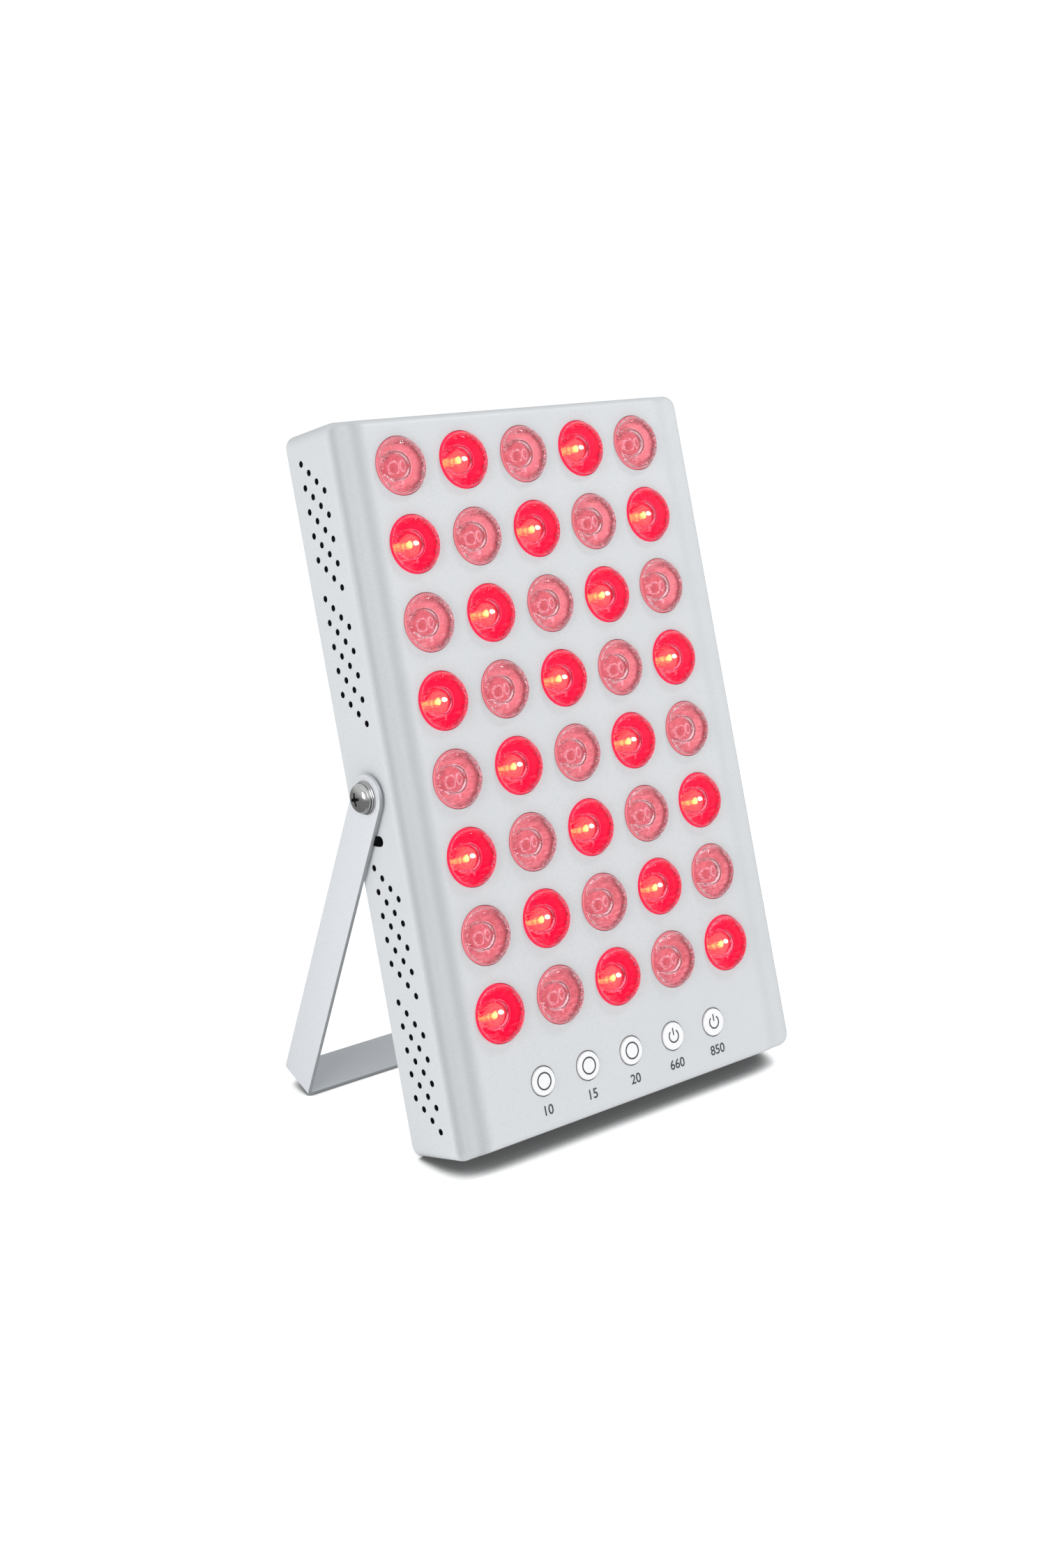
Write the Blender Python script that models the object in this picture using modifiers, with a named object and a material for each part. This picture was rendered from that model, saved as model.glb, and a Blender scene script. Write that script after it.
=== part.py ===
"""A tabletop red light therapy panel that leans back on a folding strap stand.

Metres, +Z up, X to the right and the lenses facing -Y. The pieces of the case are modelled in the
case's own frame: its origin is the middle of the stand's pivot axis, x runs to the right, y towards
the back and z up along the case. The whole case then leans back and stands on the floor at z = 0.
"""

import math

import bmesh
import bpy
from mathutils import Matrix, Vector

MM = 0.001
FULL_TURN = 2 * math.pi
QUARTER_TURN = math.pi / 2

# Driving dimensions
CASE_WIDTH = 202 * MM
CASE_HEIGHT = 316 * MM
CASE_DEPTH = 35 * MM
CASE_LEAN = math.radians(18)
SHEET = 1.2 * MM
GAP = 0.3 * MM
WELD = 0.4 * MM
OVERRUN = 2 * MM
MERGE_DISTANCE = 0.003 * MM
FILL_TURN = math.radians(6.3)
HEXAGON_SIDES = 6

# The shell of the case
CORNER_RADIUS = 6 * MM
FRONT_EDGE_RADIUS = 4 * MM
CORNER_STEPS = 3
FRONT_EDGE_STEPS = 2
TAB_LENGTH = 12 * MM
TAB_WIDTH = 12 * MM
TAB_SHEET = 1.5 * MM
TAB_END_INSET = 16 * MM

# Side vents: groups above and below the pivot, each of staggered columns
VENT_DIAMETER = 2.9 * MM
VENT_SIDES = 6
VENT_GROUPS = (-2, -1, 1, 2)
VENT_GROUP_PITCH_SHARE = 0.1848
VENT_ROWS = 5
VENT_COLUMNS = 4
VENT_ROW_PITCH_SHARE = 0.0329
VENT_COLUMN_PITCH = 4.7 * MM
VENT_COLUMN_DROP_SHARE = 0.442
VENT_SET_BACK = 1 * MM

# Lenses
LENS_ROWS = 8
LENS_COLUMNS = 5
LENS_SIDE_MARGIN = 33 * MM
LENS_TOP_MARGIN = 21.5 * MM
LENS_BOTTOM_MARGIN = 56.5 * MM
LENS_SPACING = 8.6 * MM
LENS_RIM_PROUD = 1 * MM
LENS_DOME_HEIGHT = 5 * MM
LENS_DOME_STEPS = 3
LENS_SIDES = 12
LENS_STRIP_SHEET = 1.5 * MM
LENS_STRIP_MARGIN = 2 * MM

# LED board and heat sink
BOARD_SHEET = 1.6 * MM
BOARD_SIDE_MARGIN = 6 * MM
BOARD_END_MARGIN = 2 * MM
EMITTER_WIDTH = 5 * MM
EMITTER_HEIGHT = 1.4 * MM
SINK_BASE = 2 * MM
SINK_FIN_HEIGHT = 5 * MM
SINK_FIN_SHEET = 1.2 * MM
SINK_FIN_PITCH = 12 * MM
SINK_FINS = 10
SINK_END_INSET = 12 * MM
BOARD_SCREW_INSET = 4 * MM

# Buttons
BUTTON_NAMES = ("timer_10", "timer_15", "timer_20", "power_660", "power_850")
BUTTON_SIDE_MARGIN = 49.4 * MM
BUTTON_BOTTOM_MARGIN = 22.7 * MM
BUTTON_DIAMETER = 12.4 * MM
BUTTON_PROUD = 0.9 * MM
BUTTON_EDGE = 0.4 * MM
BUTTON_FLANGE = 1.2 * MM
BUTTON_FLANGE_SHEET = 0.8 * MM
BUTTON_STEM_DIAMETER = 3.6 * MM
BUTTON_STEM = 0.9 * MM
BUTTON_TRAVEL = 0.6 * MM
BUTTON_SIDES = 16

# Control board behind the buttons
KEY_WIDTH = 6 * MM
KEY_BODY_HEIGHT = 2.2 * MM
KEY_PLUNGER_HEIGHT = 0.6 * MM
KEY_PLUNGER_DIAMETER = 3.4 * MM
CONTROL_BOARD_SHEET = 1.6 * MM
CONTROL_BOARD_HEIGHT = 24 * MM
CONTROL_BOARD_END = 16 * MM
CONTROL_POST_WIDTH = 5 * MM
CONTROL_POST_INSET = 4.5 * MM

# Stand
STRAP_WIDTH = 20 * MM
STRAP_SHEET = 2 * MM
STRAP_BEND_RADIUS = 1 * MM
STRAP_BEND_STEPS = 3
STRAP_END_STEPS = 10
STAND_SWING_GAP = 1 * MM
STAND_SIDE_GAP = 1.2 * MM
STAND_STOP_RADIUS = 19.5 * MM
STAND_STOP_PIN_DIAMETER = 3.6 * MM
STAND_STOP_PIN_INSIDE = 1.5 * MM
STAND_STOP_SLOT_WIDTH = 4.6 * MM
STAND_STOP_HEAD_DIAMETER = 5.2 * MM
STAND_OPENS_BEYOND = math.radians(3)
SLOT_STEPS = 6

# Pivots
PIVOT_SCREW_DIAMETER = 6 * MM
PIVOT_SCREW_LENGTH = 13 * MM
PIVOT_HEAD_DIAMETER = 13 * MM
PIVOT_HEAD_HEIGHT = 4.2 * MM
PIVOT_HEAD_RIM = 1.2 * MM
PIVOT_HEAD_CURVE_SHARES = ((0.5, 0.85), (0.85, 0.45))
PIVOT_RECESS_WIDTH = 1.5 * MM
PIVOT_RECESS_LENGTH = 6 * MM
PIVOT_RECESS_DEPTH = 2 * MM
PIVOT_WASHER_DIAMETER = 14.6 * MM
PIVOT_WASHER_SHEET = 1.2 * MM
PIVOT_SPACER_DIAMETER = 13 * MM
PIVOT_NUT_WIDTH = 10 * MM
PIVOT_NUT_HEIGHT = 5 * MM
PIVOT_SIDES = 16

# Small screws
SCREW_DIAMETER = 3 * MM
SCREW_HEAD_DIAMETER = 5.6 * MM
SCREW_HEAD_HEIGHT = 1.8 * MM
SCREW_HEAD_RIM = 0.6 * MM
SCREW_SIDES = 8
COVER_SCREW_LENGTH = 6 * MM

# Fan on the rear cover
FAN_WIDTH = 80 * MM
FAN_DEPTH = 10 * MM
FAN_WALL = 2 * MM
FAN_CORNER_RADIUS = 5 * MM
FAN_SCREW_INSET = 4.25 * MM
FAN_ABOVE_PIVOT = 5 * MM
FAN_SIDES = 24
FAN_HUB_SHARE = 0.395
FAN_HUB_SHEET = 3 * MM
FAN_STRUTS = 4
FAN_STRUT_WIDTH = 4 * MM
FAN_HUB_RECESS = 0.5 * MM
FAN_SCREW_LENGTH = 12 * MM
ROTOR_DEPTH = 6 * MM
ROTOR_TIP_GAP = 1.5 * MM
ROTOR_BLADES = 7
ROTOR_BLADE_SHEET = 1.2 * MM
ROTOR_BLADE_CHORD = 9.4 * MM
ROTOR_BLADE_PITCH = math.radians(30)
GUARD_WIRE = 1.6 * MM
GUARD_RING_SHARES = (0.29, 0.59, 0.895)
GUARD_RING_STEPS = 18
GUARD_EYE_DIAMETER = 8 * MM
GUARD_EYE_SHEET = 1.2 * MM
GUARD_EYE_OVERLAP = 0.6 * MM

# Power supply inside the case
SUPPLY_WIDTH = 110 * MM
SUPPLY_EDGE = 1.5 * MM
SUPPLY_TOP_BELOW_PIVOT = 34 * MM
SUPPLY_ABOVE_INLET = 18 * MM
SUPPLY_FRONT_CLEARANCE = 3.1 * MM

# Mains inlet and main switch on the rear cover
INLET_SIDE_MARGIN = 41 * MM
REAR_FITTINGS_BOTTOM_MARGIN = 44 * MM
INLET_WIDTH = 27 * MM
INLET_HEIGHT = 20 * MM
INLET_DEPTH = 14 * MM
INLET_CORNER = 3.5 * MM
INLET_FLANGE = 2.2 * MM
INLET_FLANGE_SHEET = 2 * MM
INLET_WALL = 1.4 * MM
INLET_FLOOR = 2 * MM
INLET_PIN_WIDTH = 2 * MM
INLET_PIN_HEIGHT = 4 * MM
INLET_PIN_LENGTH = 7 * MM
INLET_PIN_PITCH = 7 * MM
INLET_EARTH_RISE = 2 * MM
BLADE_WIDTH = 4.8 * MM
BLADE_SHEET = 0.8 * MM
BLADE_LENGTH = 5 * MM
SWITCH_WIDTH = 13 * MM
SWITCH_HEIGHT = 19 * MM
SWITCH_DEPTH = 11 * MM
SWITCH_FLANGE = 1.5 * MM
SWITCH_FLANGE_SHEET = 1.6 * MM
SWITCH_WALL = 0.8 * MM
SWITCH_BLADE_PITCH = 10 * MM
ROCKER_TILT = math.radians(9)
ROCKER_CREST = 4.2 * MM
ROCKER_VALLEY = 2.6 * MM
ROCKER_KEEL = 1.5 * MM
ROCKER_KEEL_TAPER = 1.8 * MM
ROCKER_LOW_SIDE_PROUD = 0.3 * MM

# Leads inside the case
LEAD_DIAMETER = 2.2 * MM
LEAD_STEPS = 5
LEAD_INSET = 8 * MM
LEAD_HANDLE = 4 * MM
LEAD_TURN = 3.3 * MM

# Places worked out from the sizes
FRONT = -CASE_DEPTH / 2
BACK = CASE_DEPTH / 2
TOP = CASE_HEIGHT / 2
BOTTOM = -CASE_HEIGHT / 2
SIDE = CASE_WIDTH / 2
INNER_SIDE = SIDE - SHEET
INNER_FRONT = FRONT + SHEET
COVER_FRONT = BACK - SHEET
STRIP_FRONT = INNER_FRONT + GAP
STRIP_BACK = STRIP_FRONT + LENS_STRIP_SHEET
BOARD_FRONT = STRIP_BACK + GAP
BOARD_BACK = BOARD_FRONT + BOARD_SHEET
SINK_FRONT = BOARD_BACK + GAP
SINK_BACK = SINK_FRONT + SINK_BASE
FITTING_BACK = BACK + GAP
LENS_GRID_TOP = TOP - LENS_TOP_MARGIN
LENS_GRID_WIDTH = CASE_WIDTH - 2 * LENS_SIDE_MARGIN
LENS_GRID_HEIGHT = CASE_HEIGHT - LENS_TOP_MARGIN - LENS_BOTTOM_MARGIN
LENS_GRID_MIDDLE = LENS_GRID_TOP - LENS_GRID_HEIGHT / 2
LENS_PITCH = LENS_GRID_WIDTH / (LENS_COLUMNS - 1)
LENS_ROW_PITCH = LENS_GRID_HEIGHT / (LENS_ROWS - 1)
LENS_DIAMETER = min(LENS_PITCH, LENS_ROW_PITCH) - LENS_SPACING
STRIP_HEIGHT = LENS_DIAMETER + 2 * LENS_STRIP_MARGIN
STRIP_WIDTH = LENS_GRID_WIDTH + STRIP_HEIGHT
VENT_GROUP_PITCH = CASE_HEIGHT * VENT_GROUP_PITCH_SHARE
VENT_ROW_PITCH = CASE_HEIGHT * VENT_ROW_PITCH_SHARE
VENT_COLUMN_DROP = VENT_ROW_PITCH * VENT_COLUMN_DROP_SHARE
BOARD_WIDTH = 2 * (INNER_SIDE - BOARD_SIDE_MARGIN)
BOARD_HEIGHT = LENS_GRID_HEIGHT + STRIP_HEIGHT + 2 * BOARD_END_MARGIN
BUTTON_HEIGHT_PLACE = BOTTOM + BUTTON_BOTTOM_MARGIN
BUTTON_PITCH = (CASE_WIDTH - 2 * BUTTON_SIDE_MARGIN) / (len(BUTTON_NAMES) - 1)
INLET_OFFSET = SIDE - INLET_SIDE_MARGIN
REAR_FITTINGS_PLACE = BOTTOM + REAR_FITTINGS_BOTTOM_MARGIN
KEY_TOP = INNER_FRONT + GAP + BUTTON_FLANGE_SHEET + BUTTON_STEM + BUTTON_TRAVEL + GAP / 2
CONTROL_FRONT = KEY_TOP + KEY_PLUNGER_HEIGHT + KEY_BODY_HEIGHT
CONTROL_WIDTH = (len(BUTTON_NAMES) - 1) * BUTTON_PITCH + 2 * CONTROL_BOARD_END
FAN_BORE = FAN_WIDTH - 2 * FAN_WALL
FAN_SCREW_PITCH = FAN_WIDTH - 2 * FAN_SCREW_INSET
FAN_CENTRE_ABOVE_PIVOT = FAN_WIDTH / 2 + FAN_ABOVE_PIVOT
FAN_HUB_DIAMETER = FAN_BORE * FAN_HUB_SHARE
ROTOR_DIAMETER = FAN_BORE - 2 * ROTOR_TIP_GAP
SUPPLY_TOP = -SUPPLY_TOP_BELOW_PIVOT
SUPPLY_BOTTOM = REAR_FITTINGS_PLACE + INLET_HEIGHT / 2 + SUPPLY_ABOVE_INLET
SUPPLY_MIDDLE = (SUPPLY_TOP + SUPPLY_BOTTOM) / 2
SUPPLY_BACK = COVER_FRONT - GAP
SUPPLY_FRONT = SINK_BACK + SINK_FIN_HEIGHT + SUPPLY_FRONT_CLEARANCE
ARM_INSIDE = SIDE + STAND_SIDE_GAP
ARM_OUTSIDE = ARM_INSIDE + STRAP_SHEET
STAND_REACH = math.hypot(TOP, BACK) + STAND_SWING_GAP + STRAP_SHEET
PIVOT_HOLE_RADIUS = PIVOT_SCREW_DIAMETER / 2 + GAP
SCREW_HOLE_RADIUS = SCREW_DIAMETER / 2 + GAP

# Turns that carry a flat outline (its x and y) or a turned piece's axis (its z) to its place
OUTLINE_TO_FRONT = Matrix.Rotation(QUARTER_TURN, 4, "X")
OUTLINE_TO_SIDE = Matrix(((0, 0, 1, 0), (1, 0, 0, 0), (0, 1, 0, 0), (0, 0, 0, 1)))
AXIS_TO_FRONT = (QUARTER_TURN, 0, 0)
AXIS_TO_BACK = (-QUARTER_TURN, 0, 0)


def clear_scene():
    """Remove every object that the file starts with."""
    for thing in list(bpy.data.objects):
        bpy.data.objects.remove(thing, do_unlink=True)


def new_collection(name):
    """A collection linked to the scene."""
    collection = bpy.data.collections.new(name)
    bpy.context.scene.collection.children.link(collection)
    return collection


def new_finish(name, colour, roughness, metallic=0.0, alpha=1.0, emission=0.0):
    """A Principled material with its plain values set."""
    finish = bpy.data.materials.new(name)
    finish.use_nodes = True
    shader = finish.node_tree.nodes["Principled BSDF"]
    shader.inputs["Base Color"].default_value = (*colour, 1.0)
    shader.inputs["Roughness"].default_value = roughness
    shader.inputs["Metallic"].default_value = metallic
    shader.inputs["Alpha"].default_value = alpha
    shader.inputs["Emission Color"].default_value = (*colour, 1.0)
    shader.inputs["Emission Strength"].default_value = emission
    finish.diffuse_color = (*colour, 1.0)
    return finish


def add_box(bm, low, high):
    """A box between two opposite corners."""
    low, high = Vector(low), Vector(high)
    place = Matrix.Translation((low + high) / 2)
    bmesh.ops.create_cube(bm, size=1, matrix=place @ Matrix.Diagonal((*(high - low), 1)))


def add_rod(bm, start, end, radius, sides):
    """A prism with regular sides between two points."""
    start, end = Vector(start), Vector(end)
    along = end - start
    turn = along.to_track_quat("Z", "Y").to_matrix().to_4x4()
    bmesh.ops.create_cone(
        bm, cap_ends=True, segments=sides, radius1=radius, radius2=radius, depth=along.length,
        matrix=Matrix.Translation((start + end) / 2) @ turn,
    )


def mesh_of(name, bm):
    """Turn a bmesh into a mesh and free it."""
    mesh = bpy.data.meshes.new(name)
    bm.to_mesh(mesh)
    bm.free()
    return mesh


def evaluated_mesh(thing):
    """The mesh of an object as its modifiers or its curve make it, closed along its seams."""
    bpy.context.view_layer.update()
    graph = bpy.context.evaluated_depsgraph_get()
    mesh = bpy.data.meshes.new_from_object(thing.evaluated_get(graph))
    bm = bmesh.new()
    bm.from_mesh(mesh)
    bmesh.ops.remove_doubles(bm, verts=bm.verts, dist=MERGE_DISTANCE)
    bmesh.ops.recalc_face_normals(bm, faces=bm.faces)
    bm.to_mesh(mesh)
    bm.free()
    return mesh


def circle(radius, sides, across=0.0, up=0.0):
    """Points around a circle."""
    return [
        (across + radius * math.cos(FULL_TURN * i / sides), up + radius * math.sin(FULL_TURN * i / sides))
        for i in range(sides)
    ]


def rounded_rectangle(width, height, radius, steps, across=0.0, up=0.0):
    """Points around a rectangle whose corners are arcs."""
    points = []
    for quarter, (sx, sy) in enumerate(((1, 1), (-1, 1), (-1, -1), (1, -1))):
        for step in range(steps + 1):
            angle = QUARTER_TURN * (quarter + step / steps)
            points.append((
                across + sx * (width / 2 - radius) + radius * math.cos(angle),
                up + sy * (height / 2 - radius) + radius * math.sin(angle),
            ))
    return points


def rectangle(width, height, across=0.0, up=0.0):
    """Corners of a rectangle."""
    corners = ((1, 1), (-1, 1), (-1, -1), (1, -1))
    return [(across + sx * width / 2, up + sy * height / 2) for sx, sy in corners]


def plate_mesh(name, outlines, thickness, turn=None):
    """A flat plate with an outer outline and holes, centred on its thickness, then turned.

    The outline is filled while it lies turned a little, because level points can leave gaps in a fill.
    """
    curve = bpy.data.curves.new(name, "CURVE")
    curve.dimensions = "2D"
    curve.fill_mode = "BOTH"
    curve.extrude = thickness / 2
    for points in outlines:
        spline = curve.splines.new("POLY")
        spline.points.add(len(points) - 1)
        for point, (across, up) in zip(spline.points, points):
            point.co = (*(Matrix.Rotation(FILL_TURN, 3, "Z") @ Vector((across, up, 0))), 1)
        spline.use_cyclic_u = True
    holder = bpy.data.objects.new(name, curve)
    bpy.context.scene.collection.objects.link(holder)
    mesh = evaluated_mesh(holder)
    bpy.data.objects.remove(holder)
    mesh.transform(Matrix.Rotation(-FILL_TURN, 4, "Z"))
    if turn:
        mesh.transform(turn)
    return mesh


def turned_mesh(name, profile, sides):
    """A solid turned about z from a profile of (radius, height) points, top first."""
    mesh = bpy.data.meshes.new(name)
    points = [(radius, 0, height) for radius, height in profile]
    mesh.from_pydata(points, [(i, i + 1) for i in range(len(points) - 1)], [])
    holder = bpy.data.objects.new(name, mesh)
    bpy.context.scene.collection.objects.link(holder)
    screw = holder.modifiers.new("turn", "SCREW")
    screw.steps = screw.render_steps = sides
    screw.use_merge_vertices = True
    screw.merge_threshold = MERGE_DISTANCE
    solid = evaluated_mesh(holder)
    bpy.data.objects.remove(holder)
    return solid


def wire_mesh(name, points, thickness, cyclic=False, bevel_resolution=0):
    """A wire along points, closed at its ends or round on itself."""
    curve = bpy.data.curves.new(name, "CURVE")
    curve.dimensions = "3D"
    curve.bevel_depth = thickness / 2
    curve.bevel_resolution = bevel_resolution
    curve.use_fill_caps = not cyclic
    spline = curve.splines.new("POLY")
    spline.points.add(len(points) - 1)
    for point, place in zip(spline.points, points):
        point.co = (*place, 1)
    spline.use_cyclic_u = cyclic
    holder = bpy.data.objects.new(name, curve)
    bpy.context.scene.collection.objects.link(holder)
    mesh = evaluated_mesh(holder)
    bpy.data.objects.remove(holder)
    return mesh


def moved(mesh, across=0.0, back=0.0, up=0.0):
    """The same mesh moved in the case's frame."""
    mesh.transform(Matrix.Translation((across, back, up)))
    return mesh


def smooth(mesh):
    """Shade round faces smooth and keep real edges sharp."""
    mesh.shade_smooth()
    mesh.set_sharp_from_angle(angle=math.radians(40))
    return mesh


class Maker:
    """Places pieces in the case's frame, and keeps the hidden cutters apart from them."""

    def __init__(self):
        self.parts = new_collection("light_panel")
        self.cutters = new_collection("cutters")

    def empty(self, name, parent=None, place=(0, 0, 0), turn=(0, 0, 0)):
        thing = bpy.data.objects.new(name, None)
        self.parts.objects.link(thing)
        thing.parent, thing.location, thing.rotation_euler = parent, place, turn
        return thing

    def piece(self, name, mesh, finish, parent, place=(0, 0, 0), turn=(0, 0, 0)):
        thing = bpy.data.objects.new(name, mesh)
        self.parts.objects.link(thing)
        thing.parent, thing.location, thing.rotation_euler = parent, place, turn
        mesh.materials.clear()
        mesh.materials.append(finish)
        return thing

    def combine(self, thing, mesh, operation):
        """Join a mesh in the piece's own frame to it, or cut it away."""
        helper = bpy.data.objects.new(f"{thing.name}_{operation.lower()}", mesh)
        self.cutters.objects.link(helper)
        helper.parent, helper.location = thing.parent, thing.location
        helper.rotation_euler = thing.rotation_euler
        helper.hide_render = True
        helper.display_type = "WIRE"
        step = thing.modifiers.new(operation.lower(), "BOOLEAN")
        step.operation = operation
        step.solver = "EXACT"
        step.object = helper

    def join(self, thing, mesh):
        self.combine(thing, mesh, "UNION")

    def cut(self, thing, mesh):
        self.combine(thing, mesh, "DIFFERENCE")

    def settle(self, thing):
        """Replace a piece's modifiers by their result, and return the mesh for its copies."""
        mesh = evaluated_mesh(thing)
        mesh.materials.clear()
        mesh.materials.append(thing.data.materials[0])
        thing.modifiers.clear()
        thing.data = mesh
        return mesh


def make_finishes():
    """The materials of the pieces, named for what they are."""
    return {
        "case_paint": new_finish("case_paint", (0.69, 0.72, 0.75), 0.45),
        "stand_paint": new_finish("stand_paint", (0.72, 0.74, 0.77), 0.45),
        "red_lens": new_finish("red_lens", (0.85, 0.09, 0.13), 0.12, alpha=0.85),
        "button": new_finish("button", (0.86, 0.87, 0.88), 0.3),
        "board": new_finish("board", (0.8, 0.8, 0.78), 0.5),
        "control_board": new_finish("control_board", (0.02, 0.16, 0.06), 0.5),
        "heat_sink": new_finish("heat_sink", (0.7, 0.71, 0.72), 0.35, metallic=1.0),
        "steel": new_finish("steel", (0.6, 0.6, 0.61), 0.25, metallic=1.0),
        "black_plastic": new_finish("black_plastic", (0.02, 0.02, 0.022), 0.5),
        "grey_plastic": new_finish("grey_plastic", (0.5, 0.5, 0.5), 0.5),
        "supply_case": new_finish("supply_case", (0.62, 0.63, 0.64), 0.4, metallic=1.0),
        "lead": new_finish("lead", (0.55, 0.03, 0.02), 0.5),
    }


def vent_places():
    """Places (back, up) of the vent holes in one side of the case."""
    half_height = ((VENT_ROWS - 1) * VENT_ROW_PITCH + (VENT_COLUMNS - 1) * VENT_COLUMN_DROP) / 2
    half_depth = (VENT_COLUMNS - 1) * VENT_COLUMN_PITCH / 2
    return [
        (
            VENT_SET_BACK + half_depth - column * VENT_COLUMN_PITCH,
            group * VENT_GROUP_PITCH + half_height - row * VENT_ROW_PITCH - column * VENT_COLUMN_DROP,
        )
        for group in VENT_GROUPS for row in range(VENT_ROWS) for column in range(VENT_COLUMNS)
    ]


def lens_places():
    """Places across of the lenses in a row."""
    return [(column - (LENS_COLUMNS - 1) / 2) * LENS_PITCH for column in range(LENS_COLUMNS)]


def row_height(row):
    """Height of a row of lenses, row 0 at the top."""
    return LENS_GRID_TOP - row * LENS_ROW_PITCH


def button_places():
    """Places across of the buttons, left to right."""
    return [(i - (len(BUTTON_NAMES) - 1) / 2) * BUTTON_PITCH for i in range(len(BUTTON_NAMES))]


def cover_screw_places():
    """Places (across, up) of the screws that hold the rear cover to the shell's tabs."""
    across = INNER_SIDE - TAB_LENGTH / 2
    ends = TOP - TAB_END_INSET
    return [(side * across, up) for side in (-1, 1) for up in (-ends, 0, ends)]


def fan_screw_places():
    """Places (across, up) of the fan's screws."""
    half = FAN_SCREW_PITCH / 2
    return [(sx * half, FAN_CENTRE_ABOVE_PIVOT + sy * half) for sx in (-1, 1) for sy in (-1, 1)]


def board_screw_places():
    """Places (across, up) of the screws that hold the LED board and the heat sink."""
    across = BOARD_WIDTH / 2 - BOARD_SCREW_INSET
    half = BOARD_HEIGHT / 2 - SINK_END_INSET - BOARD_SCREW_INSET
    return [(sx * across, LENS_GRID_MIDDLE + sy * half) for sx in (-1, 1) for sy in (-1, 1)]


def stand_opening():
    """How far the stand's arms stand behind the case's downward direction, both feet on the floor.

    The case rests on its lower back edge, the stand on the front edge of its crossbar.
    """
    pivot_height = CASE_HEIGHT / 2 * math.cos(CASE_LEAN) + CASE_DEPTH / 2 * math.sin(CASE_LEAN)
    reach = math.hypot(STAND_REACH, STRAP_WIDTH / 2)
    behind_vertical = math.atan2(STRAP_WIDTH / 2, STAND_REACH) + math.acos(pivot_height / reach)
    return CASE_LEAN + behind_vertical


def stop_slot_outline():
    """The slot (back, up) that the stop pin runs in, an arc about the pivot with round ends."""
    half = STAND_STOP_SLOT_WIDTH / 2
    first, last = -QUARTER_TURN, -QUARTER_TURN + stand_opening() + STAND_OPENS_BEYOND

    def arc(centre, radius, start, end):
        angles = [start + (end - start) * i / SLOT_STEPS for i in range(SLOT_STEPS + 1)]
        return [(centre[0] + radius * math.cos(a), centre[1] + radius * math.sin(a)) for a in angles]

    def on_arc(angle):
        return STAND_STOP_RADIUS * math.cos(angle), STAND_STOP_RADIUS * math.sin(angle)

    outer = arc((0, 0), STAND_STOP_RADIUS + half, first, last)
    far_end = arc(on_arc(last), half, last, last + math.pi)
    inner = arc((0, 0), STAND_STOP_RADIUS - half, last, first)
    near_end = arc(on_arc(first), half, first + math.pi, first + FULL_TURN)
    return outer + far_end[1:-1] + inner + near_end[1:-1]


def shell_mesh():
    """The outside of the case: a box open at the back, its corners and front edges rounded."""
    bm = bmesh.new()
    add_box(bm, (-SIDE, FRONT, BOTTOM), (SIDE, BACK, TOP))
    bmesh.ops.delete(bm, geom=[f for f in bm.faces if f.calc_center_median().y > 0 and
                               abs(f.normal.y) > abs(f.normal.x) + abs(f.normal.z)], context="FACES_ONLY")
    corners = [e for e in bm.edges if abs(e.verts[0].co.y - e.verts[1].co.y) > CASE_DEPTH / 2]
    bmesh.ops.bevel(bm, geom=corners, offset=CORNER_RADIUS, segments=CORNER_STEPS, profile=0.5,
                    affect="EDGES")
    front = [e for e in bm.edges if all(v.co.y < FRONT + GAP for v in e.verts)]
    bmesh.ops.bevel(bm, geom=front, offset=FRONT_EDGE_RADIUS, segments=FRONT_EDGE_STEPS, profile=0.5,
                    affect="EDGES")
    return smooth(mesh_of("front_housing", bm))


def make_front_housing(maker, finishes, case):
    """The front and the four walls, with every hole in them and the tabs for the rear cover."""
    shell = maker.piece("front_housing", shell_mesh(), finishes["case_paint"], case)
    wall = shell.modifiers.new("wall", "SOLIDIFY")
    wall.thickness = SHEET
    wall.offset = -1
    wall.use_even_offset = True

    tabs = bmesh.new()
    for across, up in cover_screw_places():
        side = math.copysign(1, across)
        ends = sorted((side * (INNER_SIDE - TAB_LENGTH), side * (INNER_SIDE + SHEET / 2)))
        back = COVER_FRONT - GAP
        add_box(tabs, (ends[0], back - TAB_SHEET, up - TAB_WIDTH / 2), (ends[1], back, up + TAB_WIDTH / 2))
    maker.join(shell, mesh_of("tabs", tabs))

    holes = bmesh.new()
    before, behind = FRONT - OVERRUN, INNER_FRONT + OVERRUN
    for row in range(LENS_ROWS):
        for across in lens_places():
            add_rod(holes, (across, before, row_height(row)), (across, behind, row_height(row)),
                    LENS_DIAMETER / 2 + GAP, LENS_SIDES)
    for across in button_places():
        add_rod(holes, (across, before, BUTTON_HEIGHT_PLACE), (across, behind, BUTTON_HEIGHT_PLACE),
                BUTTON_DIAMETER / 2 + GAP, BUTTON_SIDES)
    past = SIDE + OVERRUN
    for back, up in vent_places():
        add_rod(holes, (-past, back, up), (past, back, up), VENT_DIAMETER / 2, VENT_SIDES)
    add_rod(holes, (-past, 0, 0), (past, 0, 0), PIVOT_HOLE_RADIUS, PIVOT_SIDES)
    for across, up in cover_screw_places():
        back = COVER_FRONT + OVERRUN
        add_rod(holes, (across, back - TAB_SHEET - 2 * OVERRUN, up), (across, back, up),
                SCREW_HOLE_RADIUS, SCREW_SIDES)
    slot = plate_mesh("stop_slot", [stop_slot_outline()], 2 * past, OUTLINE_TO_SIDE)
    holes.from_mesh(slot)
    maker.cut(shell, mesh_of("holes", holes))


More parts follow.
